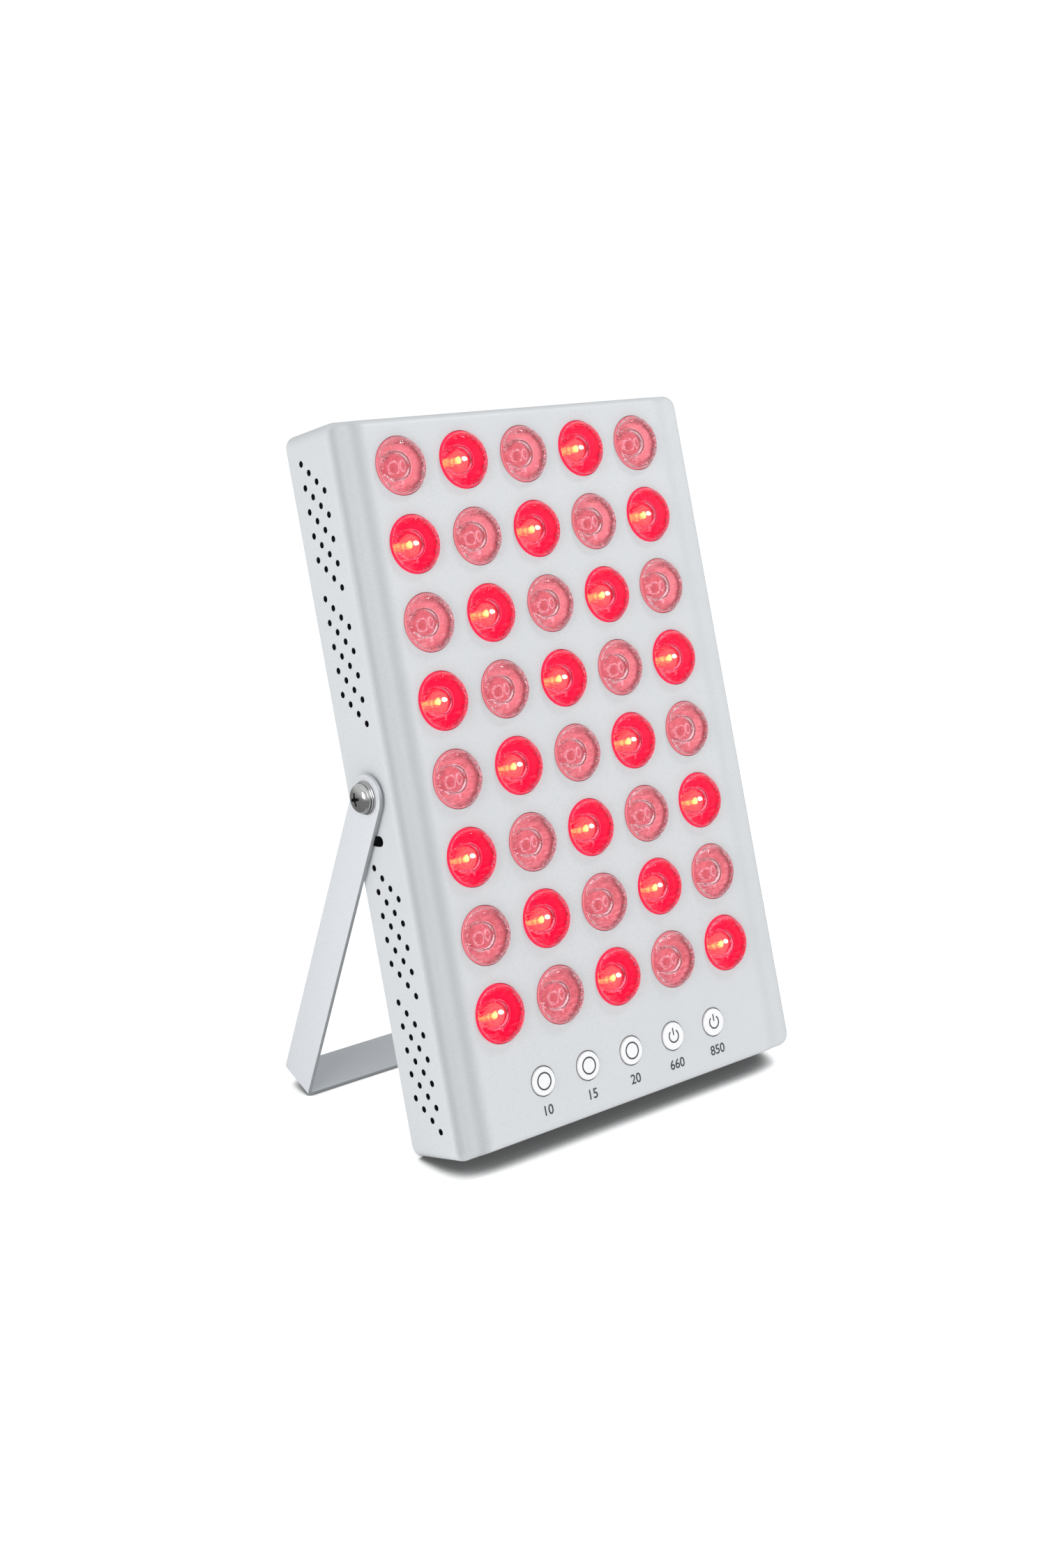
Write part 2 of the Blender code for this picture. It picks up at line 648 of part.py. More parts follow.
def make_rear_cover(maker, finishes, case):
    """The flat cover inside the shell's back edge, open for the fan, the inlet and the switch."""
    fit = SHEET + GAP
    outlines = [rounded_rectangle(CASE_WIDTH - 2 * fit, CASE_HEIGHT - 2 * fit, CORNER_RADIUS - fit,
                                  CORNER_STEPS)]
    outlines.append(circle(FAN_BORE / 2, FAN_SIDES, 0, FAN_CENTRE_ABOVE_PIVOT))
    outlines.append(rectangle(INLET_WIDTH + 2 * GAP, INLET_HEIGHT + 2 * GAP, INLET_OFFSET,
                              REAR_FITTINGS_PLACE))
    outlines.append(rectangle(SWITCH_WIDTH + 2 * GAP, SWITCH_HEIGHT + 2 * GAP, -INLET_OFFSET,
                              REAR_FITTINGS_PLACE))
    for across, up in cover_screw_places() + fan_screw_places():
        outlines.append(circle(SCREW_HOLE_RADIUS, SCREW_SIDES, across, up))
    mesh = plate_mesh("rear_cover", outlines, SHEET, OUTLINE_TO_FRONT)
    maker.piece("rear_cover", moved(mesh, back=BACK - SHEET / 2), finishes["case_paint"], case)


def lens_profile():
    """Half the outline of a domed lens, from its crown down to below its strip's front face."""
    rim_top = STRIP_FRONT - FRONT + LENS_RIM_PROUD
    points = []
    for step in range(LENS_DOME_STEPS + 1):
        angle = QUARTER_TURN * step / LENS_DOME_STEPS
        points.append((LENS_DIAMETER / 2 * math.sin(angle), rim_top + LENS_DOME_HEIGHT * math.cos(angle)))
    points.append((LENS_DIAMETER / 2, -WELD))
    points.append((0, -WELD))
    return points


def make_lens_rows(maker, finishes, case):
    """Moulded strips, each with its row of domes and a pocket behind each dome for the emitter."""
    plate = bmesh.new()
    half_width, half_height = STRIP_WIDTH / 2, STRIP_HEIGHT / 2
    add_box(plate, (-half_width, 0, -half_height), (half_width, LENS_STRIP_SHEET, half_height))
    first = maker.piece("lens_row_1", mesh_of("lens_row", plate), finishes["red_lens"], case,
                        (0, STRIP_FRONT, row_height(0)))
    dome = turned_mesh("dome", lens_profile(), LENS_SIDES)
    dome.transform(OUTLINE_TO_FRONT)
    domes, pockets = bmesh.new(), bmesh.new()
    half = EMITTER_WIDTH / 2 + GAP
    for across in lens_places():
        copy = dome.copy()
        domes.from_mesh(moved(copy, across=across))
        add_box(pockets, (across - half, LENS_STRIP_SHEET - EMITTER_HEIGHT, -half),
                (across + half, LENS_STRIP_SHEET + OVERRUN, half))
    maker.join(first, mesh_of("domes", domes))
    maker.cut(first, mesh_of("pockets", pockets))
    mesh = smooth(maker.settle(first))
    for row in range(1, LENS_ROWS):
        maker.piece(f"lens_row_{row + 1}", mesh, finishes["red_lens"], case,
                    (0, STRIP_FRONT, row_height(row)))


def make_led_board(maker, finishes, case):
    """The aluminium-core board with an emitter behind each lens."""
    outlines = [rectangle(BOARD_WIDTH, BOARD_HEIGHT, 0, LENS_GRID_MIDDLE)]
    for across, up in board_screw_places():
        outlines.append(circle(SCREW_HOLE_RADIUS, SCREW_SIDES, across, up))
    mesh = plate_mesh("led_board", outlines, BOARD_SHEET, OUTLINE_TO_FRONT)
    middle = (BOARD_FRONT + BOARD_BACK) / 2
    board = maker.piece("led_board", moved(mesh, back=middle), finishes["board"], case)
    emitters = bmesh.new()
    half = EMITTER_WIDTH / 2
    for row in range(LENS_ROWS):
        for across in lens_places():
            up = row_height(row)
            add_box(emitters, (across - half, BOARD_FRONT - EMITTER_HEIGHT + GAP, up - half),
                    (across + half, BOARD_FRONT + WELD, up + half))
    maker.join(board, mesh_of("emitters", emitters))


def make_heat_sink(maker, finishes, case):
    """An extruded plate with upright fins, as tall as the LED board less its connector margins."""
    half = BOARD_WIDTH / 2
    outline = [(-half, SINK_FRONT), (half, SINK_FRONT), (half, SINK_BACK)]
    for fin in reversed(range(SINK_FINS)):
        across = (fin - (SINK_FINS - 1) / 2) * SINK_FIN_PITCH
        right, left = across + SINK_FIN_SHEET / 2, across - SINK_FIN_SHEET / 2
        tip = SINK_BACK + SINK_FIN_HEIGHT
        outline += [(right, SINK_BACK), (right, tip), (left, tip), (left, SINK_BACK)]
    outline.append((-half, SINK_BACK))
    mesh = plate_mesh("heat_sink", [outline], BOARD_HEIGHT - 2 * SINK_END_INSET)
    sink = maker.piece("heat_sink", moved(mesh, up=LENS_GRID_MIDDLE), finishes["heat_sink"], case)
    holes = bmesh.new()
    for across, up in board_screw_places():
        add_rod(holes, (across, SINK_FRONT - OVERRUN, up), (across, SINK_BACK + OVERRUN, up),
                SCREW_HOLE_RADIUS, SCREW_SIDES)
    maker.cut(sink, mesh_of("holes", holes))


def screw_mesh(length):
    """A pan-head screw whose shank hangs below z = 0 and whose head stands above it."""
    head, shank = SCREW_HEAD_DIAMETER / 2, SCREW_DIAMETER / 2
    profile = [(0, SCREW_HEAD_HEIGHT), (shank, SCREW_HEAD_HEIGHT), (head, SCREW_HEAD_RIM), (head, 0),
               (shank, 0), (shank, -length), (0, -length)]
    return smooth(turned_mesh("screw", profile, SCREW_SIDES))


def make_screws(maker, finishes, case):
    """The small screws of the LED board, the rear cover and the fan, all driven from behind."""
    steel = finishes["steel"]
    board_seat = SINK_BACK + GAP
    mesh = screw_mesh(board_seat - INNER_FRONT - GAP)
    for i, (across, up) in enumerate(board_screw_places()):
        maker.piece(f"board_screw_{i + 1}", mesh, steel, case, (across, board_seat, up), AXIS_TO_BACK)
    mesh = screw_mesh(COVER_SCREW_LENGTH)
    for i, (across, up) in enumerate(cover_screw_places()):
        maker.piece(f"cover_screw_{i + 1}", mesh, steel, case, (across, FITTING_BACK, up), AXIS_TO_BACK)
    mesh = screw_mesh(FAN_SCREW_LENGTH)
    seat = FITTING_BACK + GUARD_EYE_SHEET + GAP
    for i, (across, up) in enumerate(fan_screw_places()):
        maker.piece(f"fan_screw_{i + 1}", mesh, steel, case, (across, seat, up), AXIS_TO_BACK)


def make_buttons(maker, finishes, case):
    """Round buttons, held by a flange behind the shell; each has its origin on its own axis."""
    face = STRIP_FRONT - FRONT + BUTTON_PROUD
    radius, flange = BUTTON_DIAMETER / 2, BUTTON_DIAMETER / 2 + BUTTON_FLANGE
    stem, under = BUTTON_STEM_DIAMETER / 2, -BUTTON_FLANGE_SHEET
    profile = [(0, face), (radius - BUTTON_EDGE, face), (radius, face - BUTTON_EDGE), (radius, 0),
               (flange, 0), (flange, under), (stem, under), (stem, under - BUTTON_STEM),
               (0, under - BUTTON_STEM)]
    mesh = smooth(turned_mesh("button", profile, BUTTON_SIDES))
    for name, across in zip(BUTTON_NAMES, button_places()):
        maker.piece(f"button_{name}", mesh, finishes["button"], case,
                    (across, STRIP_FRONT, BUTTON_HEIGHT_PLACE), AXIS_TO_FRONT)


def make_control_board(maker, finishes, case):
    """The board behind the buttons with a small key switch for each, and the two posts it stands on."""
    mesh = plate_mesh("control_board", [rectangle(CONTROL_WIDTH, CONTROL_BOARD_HEIGHT)],
                      CONTROL_BOARD_SHEET, OUTLINE_TO_FRONT)
    middle = CONTROL_FRONT + CONTROL_BOARD_SHEET / 2
    board = maker.piece("control_board", moved(mesh, back=middle, up=BUTTON_HEIGHT_PLACE),
                        finishes["control_board"], case)
    bodies, plungers = bmesh.new(), bmesh.new()
    half = KEY_WIDTH / 2
    for across in button_places():
        up = BUTTON_HEIGHT_PLACE
        add_box(bodies, (across - half, CONTROL_FRONT - KEY_BODY_HEIGHT, up - half),
                (across + half, CONTROL_FRONT + WELD, up + half))
        add_rod(plungers, (across, KEY_TOP, up), (across, CONTROL_FRONT - KEY_BODY_HEIGHT + WELD, up),
                KEY_PLUNGER_DIAMETER / 2, SCREW_SIDES)
    maker.join(board, mesh_of("keys", bodies))
    maker.join(board, mesh_of("plungers", plungers))
    post = bmesh.new()
    length = CONTROL_FRONT - GAP - STRIP_FRONT
    add_rod(post, (0, 0, 0), (0, length, 0), CONTROL_POST_WIDTH / 2, HEXAGON_SIDES)
    mesh = mesh_of("control_post", post)
    for name, side in (("left", -1), ("right", 1)):
        across = side * (CONTROL_WIDTH / 2 - CONTROL_POST_INSET)
        maker.piece(f"control_post_{name}", mesh, finishes["steel"], case,
                    (across, STRIP_FRONT, BUTTON_HEIGHT_PLACE))


def strut_window(start, end):
    """One opening of the fan's back: a ring sector between two struts."""
    inner, outer = FAN_HUB_DIAMETER / 2, FAN_BORE / 2 - WELD

    def arc(radius, steps):
        trim = math.asin(FAN_STRUT_WIDTH / 2 / radius)
        first, last = start + trim, end - trim
        return [(radius * math.cos(first + (last - first) * i / steps),
                 radius * math.sin(first + (last - first) * i / steps)) for i in range(steps + 1)]

    return arc(outer, FAN_SIDES // FAN_STRUTS) + arc(inner, FAN_SIDES // FAN_STRUTS // 2)[::-1]


def make_fan(maker, finishes, case):
    """The slim axial fan behind the rear cover's opening: frame, rotor, and guard outside."""
    middle = (0, COVER_FRONT - GAP, FAN_CENTRE_ABOVE_PIVOT)
    half = FAN_SCREW_PITCH / 2
    outlines = [rounded_rectangle(FAN_WIDTH, FAN_WIDTH, FAN_CORNER_RADIUS, CORNER_STEPS),
                circle(FAN_BORE / 2, FAN_SIDES)]
    for sx, sy in ((1, 1), (1, -1), (-1, 1), (-1, -1)):
        outlines.append(circle(SCREW_HOLE_RADIUS, SCREW_SIDES, sx * half, sy * half))
    body = plate_mesh("fan_frame", outlines, FAN_DEPTH, OUTLINE_TO_FRONT)
    frame = maker.piece("fan_frame", moved(body, back=-FAN_DEPTH / 2), finishes["black_plastic"],
                        case, middle)
    spider = [circle(FAN_BORE / 2 + WELD, FAN_SIDES)]
    for i in range(FAN_STRUTS):
        spider.append(strut_window(FULL_TURN * i / FAN_STRUTS, FULL_TURN * (i + 1) / FAN_STRUTS))
    hub = plate_mesh("spider", spider, FAN_HUB_SHEET, OUTLINE_TO_FRONT)
    maker.join(frame, moved(hub, back=-FAN_HUB_RECESS - FAN_HUB_SHEET / 2))

    rotor_back = COVER_FRONT - GAP - FAN_HUB_RECESS - FAN_HUB_SHEET - GAP
    hub = bmesh.new()
    add_rod(hub, (0, -ROTOR_DEPTH, 0), (0, 0, 0), FAN_HUB_DIAMETER / 2, PIVOT_SIDES)
    rotor = maker.piece("fan_rotor", smooth(mesh_of("fan_rotor", hub)), finishes["black_plastic"], case,
                        (0, rotor_back, FAN_CENTRE_ABOVE_PIVOT))
    blades = bmesh.new()
    inner, outer = FAN_HUB_DIAMETER / 2 - OVERRUN, ROTOR_DIAMETER / 2
    for i in range(ROTOR_BLADES):
        turn = Matrix.Rotation(FULL_TURN * i / ROTOR_BLADES, 4, "Y")
        pitch = Matrix.Rotation(ROTOR_BLADE_PITCH, 4, "X")
        size = Matrix.Diagonal((outer - inner, ROTOR_BLADE_SHEET, ROTOR_BLADE_CHORD, 1))
        place = Matrix.Translation(((inner + outer) / 2, -ROTOR_DEPTH / 2, 0))
        bmesh.ops.create_cube(blades, size=1, matrix=turn @ place @ pitch @ size)
    maker.join(rotor, mesh_of("blades", blades))


def make_fan_guard(maker, finishes, case):
    """Wire rings welded on four spokes, with an eye at each screw."""
    wire = GUARD_WIRE / 2
    spoke_place = wire
    ring_place = spoke_place + GUARD_WIRE - WELD
    rings = bmesh.new()
    for share in GUARD_RING_SHARES:
        radius = FAN_BORE / 2 * share
        points = [(across, ring_place, up) for across, up in circle(radius, GUARD_RING_STEPS)]
        rings.from_mesh(wire_mesh("ring", points, GUARD_WIRE, cyclic=True))
    guard = maker.piece("fan_guard", smooth(mesh_of("fan_guard", rings)), finishes["steel"], case,
                        (0, FITTING_BACK, FAN_CENTRE_ABOVE_PIVOT))
    half = FAN_SCREW_PITCH / 2
    near = (FAN_BORE / 2 * GUARD_RING_SHARES[0] - GUARD_WIRE) * math.sqrt(1 / 2)
    far = half - (GUARD_EYE_DIAMETER / 2 - GUARD_EYE_OVERLAP) * math.sqrt(1 / 2)
    spokes, eyes = bmesh.new(), bmesh.new()
    for sx, sy in ((1, 1), (1, -1), (-1, 1), (-1, -1)):
        ends = [(sx * near, spoke_place, sy * near), (sx * far, spoke_place, sy * far)]
        spokes.from_mesh(wire_mesh("spoke", ends, GUARD_WIRE))
        rim = [circle(GUARD_EYE_DIAMETER / 2, 2 * SCREW_SIDES), circle(SCREW_HOLE_RADIUS, SCREW_SIDES)]
        eye = plate_mesh("eye", rim, GUARD_EYE_SHEET, OUTLINE_TO_FRONT)
        eyes.from_mesh(moved(eye, sx * half, GUARD_EYE_SHEET / 2, sy * half))
    maker.join(guard, mesh_of("spokes", spokes))
    maker.join(guard, mesh_of("eyes", eyes))


def make_power_supply(maker, finishes, case):
    """The closed power supply on the rear cover's inner face."""
    bm = bmesh.new()
    half = SUPPLY_WIDTH / 2
    add_box(bm, (-half, SUPPLY_FRONT, SUPPLY_BOTTOM), (half, SUPPLY_BACK, SUPPLY_TOP))
    supply = maker.piece("power_supply", mesh_of("power_supply", bm), finishes["supply_case"], case)
    edge = supply.modifiers.new("edge", "BEVEL")
    edge.width = SUPPLY_EDGE
    edge.segments = 1


def inlet_outline(inset):
    """The inlet's outline, a rectangle whose two upper corners are cut off."""
    half_width, half_height = INLET_WIDTH / 2 - inset, INLET_HEIGHT / 2 - inset
    short_width, short_height = half_width - INLET_CORNER, half_height - INLET_CORNER
    return [(half_width, short_height), (short_width, half_height), (-short_width, half_height),
            (-half_width, short_height), (-half_width, -half_height), (half_width, -half_height)]


def make_mains_inlet(maker, finishes, case):
    """The three-pin inlet socket: a flanged box with its well, pins inside and blades behind."""
    body = plate_mesh("mains_inlet", [inlet_outline(0)], INLET_DEPTH + WELD, OUTLINE_TO_FRONT)
    inlet = maker.piece("mains_inlet", moved(body, back=(WELD - INLET_DEPTH) / 2), finishes["black_plastic"],
                        case, (INLET_OFFSET, FITTING_BACK, REAR_FITTINGS_PLACE))
    rim = rounded_rectangle(INLET_WIDTH + 2 * INLET_FLANGE, INLET_HEIGHT + 2 * INLET_FLANGE, INLET_FLANGE,
                            CORNER_STEPS)
    flange = plate_mesh("flange", [rim], INLET_FLANGE_SHEET, OUTLINE_TO_FRONT)
    maker.join(inlet, moved(flange, back=INLET_FLANGE_SHEET / 2))
    floor = INLET_FLOOR - INLET_DEPTH
    mouth = INLET_FLANGE_SHEET + OVERRUN
    well = plate_mesh("well", [inlet_outline(INLET_WALL)], mouth - floor, OUTLINE_TO_FRONT)
    maker.cut(inlet, moved(well, back=(mouth + floor) / 2))
    metal = bmesh.new()
    for i in (-1, 0, 1):
        across = i * INLET_PIN_PITCH
        up = 0 if i else INLET_EARTH_RISE
        half_pin, half_blade = INLET_PIN_WIDTH / 2, BLADE_SHEET / 2
        add_box(metal, (across - half_pin, floor - WELD, up - INLET_PIN_HEIGHT / 2),
                (across + half_pin, floor + INLET_PIN_LENGTH, up + INLET_PIN_HEIGHT / 2))
        add_box(metal, (across - half_blade, -INLET_DEPTH - BLADE_LENGTH, up - BLADE_WIDTH / 2),
                (across + half_blade, WELD - INLET_DEPTH, up + BLADE_WIDTH / 2))
    maker.join(inlet, mesh_of("metal", metal))


def make_main_switch(maker, finishes, case):
    """The rocker switch: a flanged body with its well, and the rocker on its own axis."""
    body = bmesh.new()
    half_width, half_height = SWITCH_WIDTH / 2, SWITCH_HEIGHT / 2
    add_box(body, (-half_width, -SWITCH_DEPTH, -half_height), (half_width, WELD, half_height))
    switch = maker.piece("switch_body", mesh_of("switch_body", body), finishes["black_plastic"], case,
                         (-INLET_OFFSET, FITTING_BACK, REAR_FITTINGS_PLACE))
    rim = rounded_rectangle(SWITCH_WIDTH + 2 * SWITCH_FLANGE, SWITCH_HEIGHT + 2 * SWITCH_FLANGE,
                            SWITCH_FLANGE, CORNER_STEPS)
    flange = plate_mesh("flange", [rim], SWITCH_FLANGE_SHEET, OUTLINE_TO_FRONT)
    maker.join(switch, moved(flange, back=SWITCH_FLANGE_SHEET / 2))

    half_well, half_slot = half_height - SWITCH_WALL, half_width - 2 * SWITCH_WALL
    reach = (half_well - GAP - ROCKER_CREST * math.sin(ROCKER_TILT)) / math.cos(ROCKER_TILT)
    low_side = ROCKER_CREST * math.cos(ROCKER_TILT) - reach * math.sin(ROCKER_TILT)
    pivot = SWITCH_FLANGE_SHEET + ROCKER_LOW_SIDE_PROUD - low_side
    keel = reach - ROCKER_KEEL_TAPER
    floor = pivot - ROCKER_KEEL * math.cos(ROCKER_TILT) - keel * math.sin(ROCKER_TILT) - GAP
    well = bmesh.new()
    add_box(well, (-half_slot, floor, -half_well), (half_slot, SWITCH_FLANGE_SHEET + OVERRUN, half_well))
    maker.cut(switch, mesh_of("well", well))
    blades = bmesh.new()
    for side in (-1, 1):
        up = side * SWITCH_BLADE_PITCH / 2
        add_box(blades, (-BLADE_WIDTH / 2, -SWITCH_DEPTH - BLADE_LENGTH, up - BLADE_SHEET / 2),
                (BLADE_WIDTH / 2, WELD - SWITCH_DEPTH, up + BLADE_SHEET / 2))
    maker.join(switch, mesh_of("blades", blades))

    profile = [(ROCKER_CREST, reach), (ROCKER_VALLEY, 0), (ROCKER_CREST, -reach), (-ROCKER_KEEL, -keel),
               (-ROCKER_KEEL, keel)]
    mesh = plate_mesh("switch_rocker", [profile], 2 * (half_slot - GAP), OUTLINE_TO_SIDE)
    maker.piece("switch_rocker", mesh, finishes["black_plastic"], case,
                (-INLET_OFFSET, FITTING_BACK + pivot, REAR_FITTINGS_PLACE), (ROCKER_TILT, 0, 0))


def strap_outline():
    """The stand's U seen from the front: both arms, the crossbar and the bends between them."""
    inner, outer = STRAP_BEND_RADIUS, STRAP_BEND_RADIUS + STRAP_SHEET
    bend_across, bend_up = ARM_INSIDE - inner, -STAND_REACH + outer
    top = STRAP_WIDTH

    def bend(side, radius):
        angles = [QUARTER_TURN * i / STRAP_BEND_STEPS for i in range(STRAP_BEND_STEPS + 1)]
        points = [(bend_across + radius * math.cos(a), bend_up - radius * math.sin(a)) for a in angles]
        return points if side > 0 else [(-across, up) for across, up in reversed(points)]

    outside = [(ARM_OUTSIDE, top)] + bend(1, outer) + bend(-1, outer) + [(-ARM_OUTSIDE, top)]
    inside = [(-ARM_INSIDE, top)] + bend(-1, inner)[::-1] + bend(1, inner)[::-1] + [(ARM_INSIDE, top)]
    return outside + inside


def arm_outline():
    """An arm seen from the side: straight edges and a round end about the pivot."""
    half = STRAP_WIDTH / 2
    points = [(-half, -STAND_REACH - OVERRUN), (half, -STAND_REACH - OVERRUN)]
    for step in range(STRAP_END_STEPS + 1):
        angle = math.pi * step / STRAP_END_STEPS
        points.append((half * math.cos(angle), half * math.sin(angle)))
    return points


def make_stand(maker, finishes, hinge):
    """The strap stand: the U, cut by the shape of its arms seen from the side, and its stop pins."""
    mesh = plate_mesh("stand_bracket", [strap_outline()], 2 * STRAP_WIDTH, OUTLINE_TO_FRONT)
    bracket = maker.piece("stand_bracket", mesh, finishes["stand_paint"], hinge)
    stop = (0, -STAND_STOP_RADIUS)
    outlines = [arm_outline(), circle(PIVOT_HOLE_RADIUS, PIVOT_SIDES),
                circle(STAND_STOP_PIN_DIAMETER / 2 + GAP, SCREW_SIDES, *stop)]
    sides = plate_mesh("arms", outlines, 2 * (ARM_OUTSIDE + OVERRUN), OUTLINE_TO_SIDE)
    maker.combine(bracket, sides, "INTERSECT")
    smooth(bracket.data)

    length = ARM_OUTSIDE - INNER_SIDE + STAND_STOP_PIN_INSIDE
    pin, head = STAND_STOP_PIN_DIAMETER / 2, STAND_STOP_HEAD_DIAMETER / 2
    shoulder = STAND_SIDE_GAP - 2 * GAP
    seat = -STRAP_SHEET - GAP
    profile = [(0, 0), (pin, 0), (pin, seat), (head, seat), (head, seat - shoulder),
               (pin, seat - shoulder), (pin, -length), (0, -length)]
    mesh = smooth(turned_mesh("stop_pin", profile, SCREW_SIDES))
    for name, side in (("left", -1), ("right", 1)):
        maker.piece(f"stop_pin_{name}", mesh, finishes["steel"], hinge,
                    (side * ARM_OUTSIDE, 0, -STAND_STOP_RADIUS), (0, side * QUARTER_TURN, 0))


def ring_mesh(name, outer, hole, thickness, sides):
    """A flat ring, its lower face at z = 0."""
    profile = [(hole, thickness), (outer, thickness), (outer, 0), (hole, 0), (hole, thickness)]
    return smooth(turned_mesh(name, profile, sides))


def make_pivots(maker, finishes, case):
    """On each side: nut inside the shell, spacer between shell and arm, washer and screw outside."""
    steel = finishes["steel"]
    head, shank = PIVOT_HEAD_DIAMETER / 2, PIVOT_SCREW_DIAMETER / 2
    crown = PIVOT_HEAD_HEIGHT - PIVOT_HEAD_RIM
    profile = [(0, PIVOT_HEAD_HEIGHT)]
    for across_share, up_share in PIVOT_HEAD_CURVE_SHARES:
        profile.append((head * across_share, PIVOT_HEAD_RIM + crown * up_share))
    profile += [(head, PIVOT_HEAD_RIM), (head, 0), (shank, 0), (shank, -PIVOT_SCREW_LENGTH),
                (0, -PIVOT_SCREW_LENGTH)]
    screw = turned_mesh("pivot_screw", profile, PIVOT_SIDES)
    washer = ring_mesh("pivot_washer", PIVOT_WASHER_DIAMETER / 2, PIVOT_HOLE_RADIUS, PIVOT_WASHER_SHEET,
                       PIVOT_SIDES)
    spacer = ring_mesh("pivot_spacer", PIVOT_SPACER_DIAMETER / 2, PIVOT_HOLE_RADIUS,
                       STAND_SIDE_GAP - 2 * GAP, PIVOT_SIDES)
    nut_radius = PIVOT_NUT_WIDTH / 2 / math.cos(math.pi / HEXAGON_SIDES)
    outlines = [circle(nut_radius, HEXAGON_SIDES), circle(PIVOT_HOLE_RADIUS, PIVOT_SIDES)]
    nut = plate_mesh("pivot_nut", outlines, PIVOT_NUT_HEIGHT)
    nut.transform(Matrix.Translation((0, 0, PIVOT_NUT_HEIGHT / 2)))
    washer_seat = ARM_OUTSIDE + GAP
    seats = {
        "pivot_screw": (screw, steel, washer_seat + PIVOT_WASHER_SHEET + GAP),
        "pivot_washer": (washer, steel, washer_seat),
        "pivot_spacer": (spacer, finishes["grey_plastic"], SIDE + GAP),
        "pivot_nut": (nut, steel, INNER_SIDE - GAP - PIVOT_NUT_HEIGHT),
    }
    for name, (mesh, finish, seat) in seats.items():
        for label, side in (("left", -1), ("right", 1)):
            thing = maker.piece(f"{name}_{label}", mesh, finish, case, (side * seat, 0, 0),
                                (0, side * QUARTER_TURN, 0))
            if name == "pivot_screw":
                cross = bmesh.new()
                low, high = PIVOT_HEAD_HEIGHT - PIVOT_RECESS_DEPTH, PIVOT_HEAD_HEIGHT + OVERRUN
                long, wide = PIVOT_RECESS_LENGTH / 2, PIVOT_RECESS_WIDTH / 2
                tip = wide - GAP
                outline = [(tip, long), (-tip, long), (-wide, wide), (-long, tip), (-long, -tip),
                           (-wide, -wide), (-tip, -long), (tip, -long), (wide, -wide), (long, -tip),
                           (long, tip), (wide, wide)]
                slot = plate_mesh("cross", [outline], high - low)
                slot.transform(Matrix.Translation((0, 0, (high + low) / 2)))
                cross.from_mesh(slot)
                maker.cut(thing, mesh_of("cross", cross))


def lead_route(start, start_way, end, end_way, between=()):
    """Points along smooth curves from one terminal to another, straight where they leave and meet them."""
    start, end, start_way, end_way = Vector(start), Vector(end), Vector(start_way), Vector(end_way)
    leave, meet = start + start_way * LEAD_DIAMETER, end - end_way * LEAD_DIAMETER
    stops = [leave, *(Vector(point) for point in between), meet]
    ways = [start_way]
    for before, after in zip(stops, stops[2:]):
        ways.append((after - before).normalized())
    ways.append(end_way)
    points = [start]
    for a, b, way_a, way_b in zip(stops, stops[1:], ways, ways[1:]):
        handle = min(LEAD_HANDLE, (b - a).length / 2)
        c, d = a + way_a * handle, b - way_b * handle
        for step in range(LEAD_STEPS):
            t = step / LEAD_STEPS
            s = 1 - t
            points.append(a * s ** 3 + 3 * c * s * s * t + 3 * d * s * t * t + b * t ** 3)
    return points + [meet, end]


